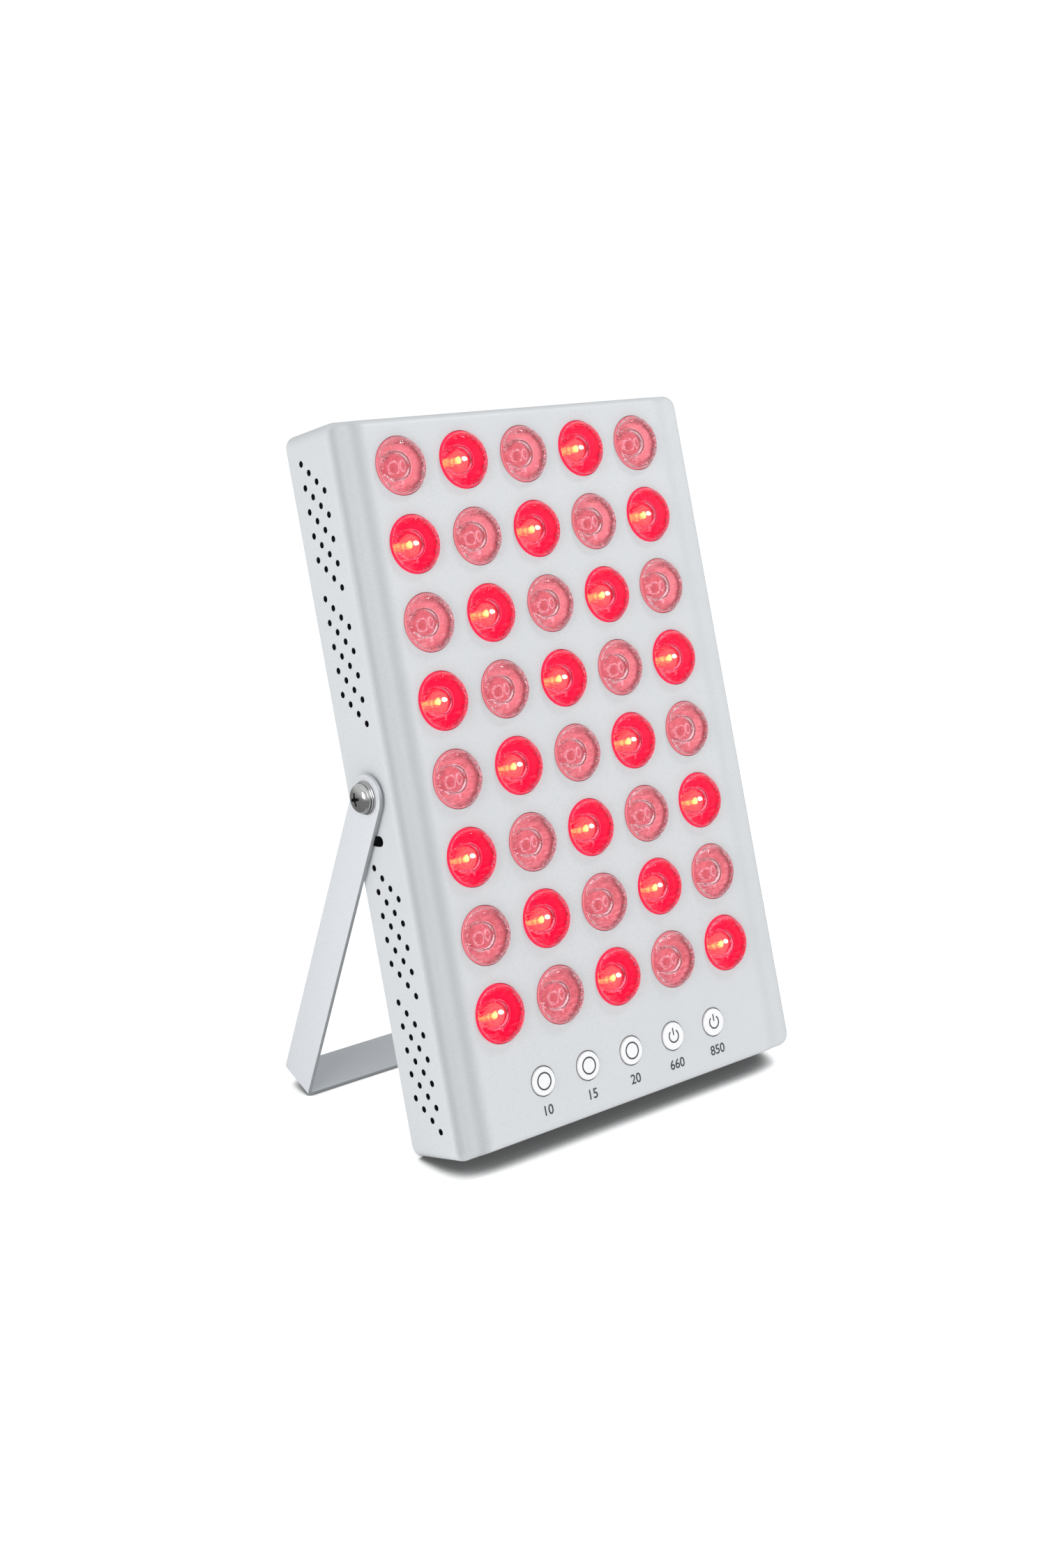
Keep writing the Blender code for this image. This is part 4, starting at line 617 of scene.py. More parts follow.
def cup_edges(place, colour, wall_shade_colour, rim_colour):
    """The colour with painted shade on the cup's wall, in rays, and its outer rim laid over it."""
    radius = length(place) / LENS_RADIUS
    rays = streaks(place, 7.0, 0.2)
    wall = ramp(radius, (0.62, 0.0), (0.82, 1.0)) * ramp(rays, (0.38, 0.25), (0.62, 1.0))
    return mixed(maths("GREATER_THAN", radius, 0.955), mixed(wall, colour, wall_shade_colour), rim_colour)


def lit_optic():
    """The cup over a lit emitter: red, with a coral halo and hot centres over its two chips."""
    material, shader = new_material("lit_optic", {
        "Base Color": (0.5, 0.0, 0.03, 1), "Emission Strength": 0.95, "Roughness": 0.2,
        "Specular Tint": (1.0, 0.1, 0.15, 1)})
    place = lens_place(material.node_tree)
    halo = spot(place, (-1.4, -0.6), 5.9)
    core = spot(place, (-2.4, 0.0), 2.1)
    white = spot(place, (1.2, 0.4), 1.2, (0.75, 1, 1))
    smear = ramp(spot(place, (-4.6, -0.2), 5.2, (1, 2.8, 1)), (0.0, 0.0), (0.75, 0.7))
    rings = maths("SINE", halo * 24.0)
    rays = streaks(place, 4.0, 0.35)
    colour = mixed(ramp(rays, (0.4, 0.0), (0.7, 1.0)), (0.98, 0.0, 0.16, 1), (0.6, 0.0, 0.14, 1))
    for share, tone in (
            (ramp(halo, (0.0, 0.0), (0.12, 0.75), (1.0, 1.0)) * (0.8 + rings * 0.2), (0.93, 1.0, 0.68, 1)),
            (smear * (0.7 + rings * 0.3), (1.8, 4.6, 0.9, 1)),
            (ramp(core, (0.0, 0.0), (0.9, 1.0)), (3.0, 13.0, 2.0, 1)),
            (ramp(white, (0.0, 0.0), (0.6, 1.0)), (3.0, 22.0, 12.0, 1)),
            (flow_lines_and_painted_glint(place, 0.45), (1.1, 0.55, 0.6, 1))):
        colour = mixed(share, colour, tone)
    colour = cup_edges(place, colour, (0.42, 0.0, 0.10, 1), (0.80, 0.03, 0.075, 1))
    colour.feed(shader["Emission Color"])
    bump(rays, 0.0004, shader)
    return material


def dark_optic():
    """The cup over an unlit emitter: salmon pink, with a pale ring round each chip. Its colour also glows,
    a painted glow for the light that comes in through the lens.
    """
    material, shader = new_material("dark_optic", {"Emission Strength": 0.33, "Roughness": 0.12,
                                                   "Coat Weight": 0.8})
    place = lens_place(material.node_tree)
    rays = streaks(place, 5.0, 0.5)
    pale = maths("MAXIMUM", ring(place, (-3.1, -0.7), 2.4, 0.55, (1, 0.85, 1)),
                 ring(place, (1.7, -0.1), 1.4, 0.45, (1, 0.6, 1)))
    colour = mixed(ramp(rays, (0.35, 0.0), (0.72, 1.0)), (0.80, 0.26, 0.31, 1), (0.66, 0.19, 0.23, 1))
    colour = mixed(pale * ramp(rays, (0.3, 0.25), (0.6, 1.0)), colour, (1.0, 0.95, 1.0, 1))
    colour = mixed(flow_lines_and_painted_glint(place, 0.4), colour, (1.0, 0.75, 0.8, 1))
    colour = cup_edges(place, colour, (0.40, 0.12, 0.14, 1), (0.78, 0.18, 0.22, 1))
    colour.feed(shader["Base Color"])
    # Painted glow: the unlit cup's colour is also its emission.
    colour.feed(shader["Emission Color"])
    bump(rays, 0.0003, shader)
    return material


def lens_material(name, colour, tint):
    """Clear tinted plastic, smooth in its middle, with flow lines across it towards the rim."""
    material, shader = new_material(name, {"Base Color": (*colour, 1), "Roughness": 0.0, "IOR": 1.49,
                                           "Transmission Weight": 1.0, "Specular Tint": (*tint, 1)})
    place = lens_place(material.node_tree)
    lines = noise(times(place, (0.08, 0.45, 0.2)))
    outer = ramp(length(times(place, (1.0, 1.0, 0.0))) / LENS_RADIUS, (0.45, 0.03), (0.85, 1.0))
    over_rim = maths("GREATER_THAN", parts(place)[2], LENS_RIM - 0.1)
    bump(lines * outer * (1.0 - 0.2 * over_rim), 0.0013, shader)
    return material


FINISH = {
    # The case's paint carries painted shade along the front's side strips.
    "case": repainted(painted("case_paint", (0.665, 0.69, 0.705), (0.60, 0.63, 0.65)), strip_painted_shade),
    # Near black: painted shade for the shell's inner side and the walls of its holes.
    "inside": painted("inside_painted_shade", (0.012, 0.013, 0.014), (0.02, 0.021, 0.022)),
    "stand": painted("stand_paint", STAND_COAT, (0.63, 0.655, 0.68)),
    # The strap's edges: painted shade, fading to the coat at the arms' tops.
    "stand_edge": repainted(painted("stand_edge_painted_shade", (0.29, 0.305, 0.315), (0.35, 0.365, 0.375)),
                            edge_painted_shade),
    "lens_lit": lens_material("lens_lit", (1.0, 0.2, 0.29), (1.0, 0.15, 0.22)),
    "lens_dark": lens_material("lens_dark", (0.95, 0.56, 0.61), (1.0, 0.8, 0.82)),
    "strip": moulded("lens_strip", (0.6, 0.05, 0.08), (0.5, 0.04, 0.06), 0.2),
    "optic_lit": lit_optic(),
    "optic_dark": dark_optic(),
    "button": moulded("button_cap", (0.9, 0.905, 0.91), (0.84, 0.85, 0.86), 0.32, 0.2),
    "ink": moulded("printed_ink", (0.05, 0.055, 0.06), (0.1, 0.105, 0.11), 0.55),
    "board": grained("board_white", (0.78, 0.79, 0.78), (0.6, 0.62, 0.6), 0.2, 0.3, 60.0, 0.35,
                     0.08, 0.00001),
    "control_board": grained("board_green", (0.02, 0.17, 0.06), (0.05, 0.28, 0.1), 0.6, 1.5, 60.0, 0.35,
                             0.08, 0.00003),
    "sink": metal("drawn_aluminium", (0.74, 0.75, 0.76), (900.0, 60.0, 20.0), 0.2, 0.36),
    "supply": metal("supply_sheet", (0.66, 0.67, 0.68), (12.0, 500.0, 500.0), 0.25, 0.4),
    "steel": metal("polished_steel", (0.64, 0.64, 0.64), (260.0, 260.0, 260.0), 0.3, 0.16, 0.1),
    "zinc": metal("zinc_steel", (0.74, 0.75, 0.76), (400.0, 400.0, 400.0), 0.3, 0.3),
    # Dark grey: painted shade in the pivot screws' cross recesses.
    "recess": metal("recess_painted_shade", (0.1, 0.1, 0.1), (400.0, 400.0, 400.0), 0.4, 0.4),
    "pin": metal("nickel_pin", (0.72, 0.68, 0.6), (300.0, 300.0, 300.0), 0.15, 0.22),
    "black": moulded("black_plastic", (0.018, 0.018, 0.02), (0.035, 0.035, 0.038), 0.42),
    "grey": moulded("grey_plastic", (0.42, 0.43, 0.44), (0.36, 0.37, 0.38), 0.5),
    "mark": moulded("white_mark", (0.8, 0.8, 0.8), (0.7, 0.7, 0.7), 0.5),
    "lead": moulded("lead_sheath", (0.5, 0.03, 0.025), (0.38, 0.02, 0.02), 0.48, grain=0.4),
}


# ---------------------------------------------------------------- housing

BORDER_DROP, BORDER_LOW, BORDER_FIELD = 0.9, 8.5, 18.0
FIELD_SIDE, FIELD_TOP = SIDE - 20.0, TOP - 6.0


def front_level(across):
    """y of the front face: the middle field, and a lower strip along each side behind a soft slope.

    The drop eases as 3t^2 - 2t^3 while the distance from the side goes from 18 to 8.5.
    """
    t = np.clip((BORDER_FIELD - (SIDE - np.abs(across))) / (BORDER_FIELD - BORDER_LOW), 0, 1)
    return FRONT + BORDER_DROP * t * t * (3 - 2 * t)


def spaced(low, high, fine, coarse_steps, fine_steps):
    """Places from low to high, close together within fine of each end."""
    near = np.linspace(low, low + fine, fine_steps, endpoint=False)
    middle = np.linspace(low + fine, high - fine, coarse_steps, endpoint=False)
    return np.concatenate((near, middle, np.linspace(high - fine, high, fine_steps + 1)))


def housing_outline():
    """Matching points round the case: on its outline, their outward normals, and on the flat field."""
    side = np.stack((np.full(25, SIDE), np.linspace(CORNER_RADIUS - TOP, TOP - CORNER_RADIUS, 25)), -1)
    end_across = spaced(CORNER_RADIUS - SIDE, SIDE - CORNER_RADIUS, 14.0, 12, 12)
    points, normals, field = [], [], []
    for quarter in range(4):
        turn = np.array([(1, 0), (0, 1), (-1, 0), (0, -1)])[quarter]
        if quarter % 2 == 0:
            line = side * turn[0]
            inner = np.stack((np.full(len(line), FIELD_SIDE * turn[0]), line[:, 1]), -1)
        else:
            line = np.stack((-end_across * turn[1], np.full(len(end_across), TOP * turn[1])), -1)
            inner = np.stack((line[:, 0] * FIELD_SIDE / (SIDE - CORNER_RADIUS),
                              np.full(len(line), FIELD_TOP * turn[1])), -1)
        line_normal = np.repeat(turn[None].astype(float), len(line), 0)
        sx, sz = ((1, 1), (-1, 1), (-1, -1), (1, -1))[quarter]
        bend = arc((0, 0), 1.0, quarter, quarter + 1, 8)[1:-1]
        corner = np.array((sx * (SIDE - CORNER_RADIUS), sz * (TOP - CORNER_RADIUS)))
        points += [line, corner + bend * CORNER_RADIUS]
        normals += [line_normal, bend]
        field += [inner, np.repeat([(sx * FIELD_SIDE, sz * FIELD_TOP)], len(bend), 0)]
    return np.vstack(points), np.vstack(normals), np.vstack(field)


def housing_shape():
    """The outside of the case, a function of the place round the outline and the way inward.

    Rows go up the wall from the back edge, round the front edge as y = level + r (1 - cos a) with the
    outline drawn in by r (1 - sin a), then over the front to the field, whose y is front_level().
    """
    outline, normal, field = housing_outline()
    rows = []
    for back in np.linspace(BACK, FRONT + EDGE_RADIUS + 3, 4):
        rows.append(np.column_stack((outline[:, 0], np.full(len(outline), back), outline[:, 1])))
    for angle in np.linspace(QUARTER_TURN, 0, 8):
        drawn = outline - normal * EDGE_RADIUS * (1 - math.sin(angle))
        back = front_level(drawn[:, 0]) + EDGE_RADIUS * (1 - math.cos(angle))
        rows.append(np.column_stack((drawn[:, 0], back, drawn[:, 1])))
    edge = outline - normal * EDGE_RADIUS
    for share in np.linspace(0, 1, 25)[1:]:
        flat = edge + (field - edge) * share
        rows.append(np.column_stack((flat[:, 0], front_level(flat[:, 0]), flat[:, 1])))
    shell = sheet_of(np.stack(rows), round_columns=True)
    count = len(outline)
    last = np.arange(count)[None] + count * (len(rows) - 1)
    return Shape(shell.points, shell.chunks + [(last, 0)])


def vent_places():
    """Places (back, up) of the 80 vent holes of one side."""
    group, row, column = np.meshgrid((-2, -1, 1, 2), range(5), range(4), indexing="ij")
    group_pitch, row_pitch, column_pitch, drop, middle = 58.4, 10.396, 4.7, 4.595, 1
    back = middle + 1.5 * column_pitch - column * column_pitch
    up = group * group_pitch + (4 * row_pitch + 3 * drop) / 2 - row * row_pitch - column * drop
    return np.stack((back.ravel(), up.ravel()), -1)


def slot_outline():
    """The stop slot (back, up): an arc about the pivot with round ends."""
    half, past_standing = STOP_SLOT_WIDTH / 2, math.radians(3)
    first, last = -1.0, -1.0 + (stand_opening() + past_standing) / QUARTER_TURN

    def on_arc(quarters):
        angle = quarters * QUARTER_TURN
        return STOP_RADIUS * math.cos(angle), STOP_RADIUS * math.sin(angle)

    return np.vstack((arc((0, 0), STOP_RADIUS + half, first, last, 20),
                      arc(on_arc(last), half, last, last + 2, 12)[1:-1],
                      arc((0, 0), STOP_RADIUS - half, last, first, 20),
                      arc(on_arc(first), half, first + 2, first + 4, 12)[1:-1]))


def lens_across():
    """x of a row's lenses."""
    return (np.arange(LENS_COLUMNS) - 2) * LENS_PITCH


def lens_up(row):
    """z of a row of lenses, counted from the top."""
    return LENS_TOP_ROW - row * LENS_PITCH


def button_across(i):
    """x of a button, counted from the left."""
    return (i - 2) * BUTTON_PITCH


def depth_in_shell(x, y, z):
    """How far points lie under the case's outside, its rounded corners and front edge counted."""

    def rounded(a, b, radius):
        in_corner = (a < radius) & (b < radius)
        return np.where(in_corner, radius - np.hypot(radius - a, radius - b), np.minimum(a, b))

    outline = rounded(SIDE - np.abs(x), TOP - np.abs(z), CORNER_RADIUS)
    return rounded(outline, y - front_level(x), EDGE_RADIUS)


def of_faces(mesh, what):
    """The faces' centres or normals, one row each."""
    values = np.empty(3 * len(mesh.polygons))
    mesh.polygons.foreach_get(what, values)
    return values.reshape(-1, 3)


def number_faces(mesh, chosen):
    """Give the chosen faces finish number 1 and the others number 0."""
    mesh.polygons.foreach_set("material_index", chosen.astype(np.int32))


def number_inside(mesh):
    """Give finish number 1, a near-black painted shade, to the inner side of the shell and to the walls of
    its holes.
    """
    x, y, z = of_faces(mesh, "center").T
    number_faces(mesh, (depth_in_shell(x, y, z) > 0.35) & (y < BACK - 0.1))


def make_housing():
    """The shell: wall thickness, lens and button holes, vents, pivot holes and stop slots, tabs."""
    round_holes = sum(rod(LENS_HOLE, 72, *PAST_FRONT, (x, lens_up(row)))
                      for row in range(LENS_ROWS) for x in lens_across())
    round_holes += sum(rod(BUTTON_HOLE, 48, *PAST_FRONT, (button_across(i), BUTTON_UP)) for i in range(5))
    through = sum(rod(VENT_HOLE, 18, -ALL_THROUGH, ALL_THROUGH, place) for place in vent_places())
    through += rod(PIVOT_HOLE, 32, -ALL_THROUGH, ALL_THROUGH)
    through += prism(slot_outline(), -ALL_THROUGH, ALL_THROUGH)
    wall = "SOLIDIFY", {"thickness": SHEET, "offset": -1.0, "use_even_offset": True}
    mesh = worked(housing_shape(), wall, cut(round_holes.facing(TO_FRONT)), cut(through.facing(TO_RIGHT)))
    number_inside(mesh)
    placed("front_housing_shell", mesh, "case inside", stands_for="front_housing")
    tabs = sum(plate(12.6, 12.0, 1.0, 3, -TAB_BACK, -TAB_FRONT, (sx * (COVER_SCREW_SIDE - 0.1), up))
               for sx in (-1, 1) for up in COVER_SCREW_ROWS)
    placed("cover_tabs", tabs.facing(TO_FRONT), "case", stands_for="front_housing")


def make_rear_cover():
    """The flat cover in the back of the shell, with its openings."""
    cover = soft_plate(2 * SIDE - 3.0, 2 * TOP - 3.0, 4.5, 8, COVER_FRONT, BACK, 0.35)
    holes = rod(FAN_BORE / 2, 96, *PAST_COVER, (0, FAN_UP))
    holes += plate(27.6, 20.6, 0.6, 3, *PAST_COVER, (-INLET_ACROSS, FITTINGS_UP))
    holes += plate(13.6, 19.6, 0.6, 3, *PAST_COVER, (INLET_ACROSS, FITTINGS_UP))
    for x, z in cover_screws() + fan_screws():
        holes += rod(SCREW_HOLE, 16, *PAST_COVER, (-x, z))
    mesh = worked(cover.facing(TO_BACK), cut(holes.facing(TO_BACK)))
    placed("rear_cover_plate", mesh, "case", stands_for="rear_cover")


def cover_screws():
    """Places (x, z) of the screws that hold the rear cover."""
    return [(sx * COVER_SCREW_SIDE, up) for sx in (-1, 1) for up in COVER_SCREW_ROWS]


def fan_screws():
    """Places (x, z) of the screws that hold the fan and its guard."""
    return [(sx * FAN_SCREWS, FAN_UP + sz * FAN_SCREWS) for sx in (-1, 1) for sz in (-1, 1)]


# ---------------------------------------------------------------- lenses

GLASS_BASE, CUP_MOUTH, CUP_FLOOR, HOLLOW, HOLLOW_ACROSS = 14.95, 12.1, 14.65, 6.0, -1.4
CHIPS = (-2.4, 1.9)


def lens_glass():
    """One lens, a closed solid: a dome, a lip, sides that run in to a flat base, and a hollow in the base.

    The dome's radius is R sin a and its height above the rim h cos a; the hollow is an ellipse too, a
    little to the side of the lens's middle, where the brighter of the two chips sits.
    """
    angle = np.linspace(0, QUARTER_TURN, 25)
    rim = LENS_RADIUS - 0.5
    dome = np.stack((rim * np.sin(angle), LENS_RIM + (LENS_CROWN - LENS_RIM) * np.cos(angle)), -1)
    back = angle[::-2]
    hollow = np.stack((HOLLOW * np.sin(back), GLASS_BASE + 3.0 * np.cos(back)), -1)
    sides = [(rim, 18.2), (rim - 0.2, 17.9), (10.6, 16.2), (10.0, GLASS_BASE), (8.5, GLASS_BASE)]
    glass = turned(np.vstack((dome, sides, hollow)), 80)
    rings = glass.points.reshape(-1, 80, 3)
    rings[-len(hollow):, :, 0] += HOLLOW_ACROSS
    return glass


def cup_shape():
    """The cup that holds a lens: a thin outer rim, and inside it a bowl, a function of radius and angle.

    The bowl's floor steps up over the emitter and runs up beside the lens; over each of the two chips
    lies a small bubble with a raised ring, which fall off with the distance from the chip.
    """
    radius = np.concatenate((np.linspace(0, 3.8, 22), np.linspace(4.0, CUP_MOUTH, 30)))[:, None]
    angle = np.linspace(0, FULL_TURN, 96, endpoint=False)
    x, z = radius * np.cos(angle), radius * np.sin(angle)
    height = CUP_FLOOR + np.where(radius < 3.9, 0.75, 0.0) + 0 * angle
    height += 1.4 * np.clip((radius - 10.1) / 0.6, 0, 1) + 2.1 * np.clip((radius - 10.7) / 1.4, 0, 1)
    for chip, size in zip(CHIPS, (1.7, 1.2)):
        apart = np.hypot(x - chip, z)
        height += 0.9 * np.sqrt(np.clip(1 - (apart / size) ** 2, 0, 1)) ** 1.4
        height += 0.25 * np.exp(-((apart - size - 0.4) / 0.3) ** 2)
    bowl = np.stack((x, z, height), -1)
    rim = LENS_RADIUS - 0.1
    outside = [(rim - 0.3, 18.25), (rim - 0.1, 18.25), (rim, 18.1), (LENS_RADIUS, 17.6),
               (LENS_RADIUS, 16.02), (11.4, 16.02), (11.4, 14.55), (4.3, 14.55), (4.1, 15.33), (0, 15.33)]
    points = np.concatenate((bowl, [at_level(rod_outline(r, 96), height) for r, height in outside]))
    return sheet_of(points, round_columns=True, place=points.reshape(-1, 3) * (1, 1, 0))


def make_lenses():
    """Each row: the strip with a hole at each lens, five lenses and their cups, lit and unlit in turn."""
    bar = soft_plate(STRIP_WIDTH, STRIP_HEIGHT, 1.5, 4, STRIP_BACK, STRIP_FRONT, 0.3)
    strip = worked(bar, cut(sum(rod(STRIP_HOLE, 64, STRIP_BACK - 0.5, STRIP_FRONT + 1.0, (x, 0))
                                for x in lens_across())))
    kinds = ("glass", lens_glass(), "lens_lit lens_dark"), ("cups", cup_shape(), "optic_lit optic_dark")
    for row in range(LENS_ROWS):
        node_name = f"lens_row_{row + 1}"
        unlit = [(row + column + 1) % 2 for column in range(LENS_COLUMNS)]
        lift = carrying(TO_FRONT, (0, 0, lens_up(row)))
        placed(f"lens_strip_{row + 1}", strip.copy(), "strip", stands_for=node_name, at=lift)
        for label, shape, finishes in kinds:
            five = sum(shape.moved(x=x).finished(n) for x, n in zip(lens_across(), unlit))
            placed(f"lens_{label}_{row + 1}", five, finishes, stands_for=node_name, at=lift)


# ---------------------------------------------------------------- buttons

def symbol_ring(radius, width, gap_quarters=0.0):
    """A flat ring line, open at its top by an angle; its section is a flat bar 0.05 high."""
    span = (1 + gap_quarters, 5 - gap_quarters) if gap_quarters else (0, 4)
    inner, outer = arc((0, 0), radius - width / 2, *span, 64), arc((0, 0), radius + width / 2, *span, 64)
    rings = np.stack([at_level(line, level) for line, level in (
        (inner, 0), (outer, 0), (outer, 0.05), (inner, 0.05))], 1)
    body = sheet_of(rings, round_columns=True)
    if not gap_quarters:
        return body
    near = np.arange(4)[None]
    return Shape(body.points, body.chunks + [(near[:, ::-1], 0), (near + 4 * (len(rings) - 1), 0)])


def button_shape():
    """A cap with a soft edge, its flange behind the front and a short stem."""
    edge = arc((BUTTON_RADIUS - 0.45, BUTTON_FACE - 0.45), 0.45, 1, 0, 5)
    flange = BUTTON_RADIUS + 1.2
    return turned([(0, BUTTON_FACE + 0.02), (4.2, BUTTON_FACE + 0.01), *edge, (BUTTON_RADIUS, 16.0),
                   (flange, 16.0), (flange, 15.2), (1.8, 15.2), (1.8, 14.3), (0, 14.3)], 64)


def text_mesh(text, height):
    """Plain figures, centred, of that height, as a thin solid."""
    curve = bpy.data.curves.new("figures", "FONT")
    curve.body = text
    curve.align_x = "CENTER"
    curve.extrude = 0.005
    curve.offset = 0.012
    holder = new_object("figures", curve)
    mesh = evaluated(holder)
    mesh.transform(Matrix.Scale(height / holder.dimensions.y, 4))
    bpy.data.objects.remove(holder)
    return cleaned(mesh)


def make_buttons():
    """Five caps, each with its printed symbol, and the figures printed under them."""
    timer = symbol_ring(3.6, 0.7)
    power = symbol_ring(2.8, 0.68, 0.42) + plate(0.68, 3.4, 0.3, 4, 0, 0.05, (0, 2.1))
    for i, (name, label) in enumerate(zip(BUTTONS, BUTTON_LABELS)):
        x, body = button_across(i), f"button_{name}"
        sign = (timer if i < 3 else power).moved(z=BUTTON_FACE)
        for piece, shape, finish, stands_for in (("cap", button_shape(), "button", body),
                                                 ("sign", sign, "ink", None)):
            placed(f"{body}_{piece}", shape.facing(TO_FRONT).moved(x=x, z=BUTTON_UP), finish,
                   body, stands_for)
        placed(f"figures_{label}", text_mesh(label, FIGURES_HEIGHT), "ink", sharp=20,
               at=carrying(TO_FRONT, (x, FRONT - 0.02, FIGURES_UP)))


# ---------------------------------------------------------------- stand and pivots

def strap_shape():
    """The stand: a flat strap with rounded edges carried along a U.

    Stations a run along the unrolled strap; a section point lies w - d either side of its middle, drawn
    in by d and raised by the edge's arc. The ends are round: (w - d)(cos t, sin t) about the pivot.
    """
    half, half_sheet, bend, edge = STRAP_WIDTH / 2, STRAP_SHEET / 2, STRAP_SHEET, 0.45
    bar = ARM_INSIDE + half_sheet - bend
    bar_up = half_sheet - STAND_REACH
    bend_up = bar_up + bend
    length = bar + bend * QUARTER_TURN - bend_up
    edge_angle = np.linspace(QUARTER_TURN, 0, 5)
    drawn = edge * (1 - np.cos(edge_angle))
    lift = half_sheet - edge + edge * np.sin(edge_angle)
    drawn = np.concatenate((drawn, drawn[::-1]))
    lift = np.concatenate((-lift, lift[::-1]))
    drawn = np.concatenate((drawn, drawn[::-1]))
    off = np.concatenate((lift, lift[::-1]))
    side = np.repeat((-1.0, 1.0), len(lift))
    end = np.linspace(0, QUARTER_TURN, 21)[:, None]
    end_along, end_half = length + (half - drawn) * np.cos(end), (half - drawn) * np.sin(end)
    straight = np.concatenate((np.linspace(length, bar + bend * QUARTER_TURN, 10)[1:],
                               bar + bend * np.linspace(QUARTER_TURN, 0, 9)[1:],
                               np.linspace(bar, 0, 8)[1:]))[:, None]
    along = np.vstack((end_along, straight + 0 * drawn))
    across = np.vstack((end_half, np.repeat(half - drawn[None], len(straight), 0))) * side
    along = np.vstack((-along, along[-2::-1]))
    across = np.vstack((across, across[-2::-1]))
    way, hand = np.abs(along), np.where(along < 0, -1.0, 1.0)
    angle = np.clip((way - bar) / bend, 0, QUARTER_TURN)
    rise = np.clip(way - bar - bend * QUARTER_TURN, 0, None)
    x = hand * (np.minimum(way, bar) + (bend + off) * np.sin(angle))
    z = bend_up - (bend + off) * np.cos(angle) + rise
    return sheet_of(np.stack((x, across, z), -1), round_columns=True)


def make_stand():
    """The strap with its pivot holes, and the stop studs that run in the case's slots."""
    mesh = worked(strap_shape(), cut(rod(PIVOT_HOLE, 40, -110.0, 110.0).facing(TO_RIGHT)))
    # The edge faces take the second finish, a painted shade.
    number_faces(mesh, np.abs(of_faces(mesh, "normal")[:, 1]) > 0.6)
    placed("stand_strap", mesh, "stand stand_edge", "stand", "stand_bracket", HINGE)
    stud = turned([(0, -0.4), (1.8, -0.4), (1.8, -2.3), (2.6, -2.4), (2.6, -2.8), (1.8, -2.9), (1.8, -5.6),
                   (1.6, -5.9), (0, -5.9)], 32)
    for label, axes, side in SIDES:
        placed(f"stop_stud_{label}", stud.facing(axes).moved(x=side * ARM_OUTSIDE, z=-STOP_RADIUS), "steel",
               "stand", f"stop_pin_{label}", HINGE)


def cross_recess(length, width, low, high):
    """A cross, narrower at its tips, to cut a driver recess."""
    tip = width * 0.72
    quarter = np.array(((length, -tip), (length, tip), (width, width)))
    outline = np.vstack([quarter @ np.array(((math.cos(a), math.sin(a)), (-math.sin(a), math.cos(a))))
                         for a in np.arange(4) * QUARTER_TURN])
    return prism(outline, low, high)


def make_pivots():
    """Each side's truss-head screw with its cross recess, the stepped washer under it, and the spacer."""
    angle = np.linspace(QUARTER_TURN, 0, 13)
    dome = np.stack((6.2 * np.cos(angle), 1.15 + 2.9 * np.sin(angle)), -1)
    shank = [(6.5, 0.15), (6.35, 0), (3, 0), (3, -12.6), (2.6, -13), (0, -13)]
    screw = turned(np.vstack((dome, arc((6.2, 0.85), 0.3, 1, 0, 3), shank)), 72)
    washer = turned([(3.35, 0), (7.15, 0), (7.3, 0.12), (7.3, 0.55), (7.15, 0.7), (6.95, 0.72), (6.95, 1.3),
                     (6.8, 1.45), (3.35, 1.45), (3.35, 0)], 72)
    spacer = turned([(3.35, 0), (6.4, 0), (6.5, 0.1), (6.5, 0.5), (6.4, 0.6), (3.35, 0.6), (3.35, 0)], 48)
    seat = ARM_OUTSIDE + GAP
    for label, axes, side in SIDES:
        mesh = worked(screw, cut(cross_recess(2.9, 0.75, 1.9, 6.0)), bevelled(0.08, 1, 40))
        x, y, z = of_faces(mesh, "center").T
        # The recess faces take the second finish, a painted shade in the cross.
        number_faces(mesh, (np.hypot(x, y) < 3.1) & (z < 3.55) & (z > 1.2))
        placed(f"pivot_bolt_{label}", mesh, "steel recess", stands_for=f"pivot_screw_{label}",
               at=carrying(axes, (side * (seat + 1.5), 0, 0)))
        placed(f"pivot_ring_{label}", washer.facing(axes).moved(x=side * seat), "steel",
               stands_for=f"pivot_washer_{label}")
        placed(f"pivot_bush_{label}", spacer.facing(axes).moved(x=side * (SIDE + GAP)), "grey",
               stands_for=f"pivot_spacer_{label}")


# ---------------------------------------------------------------- back of the case

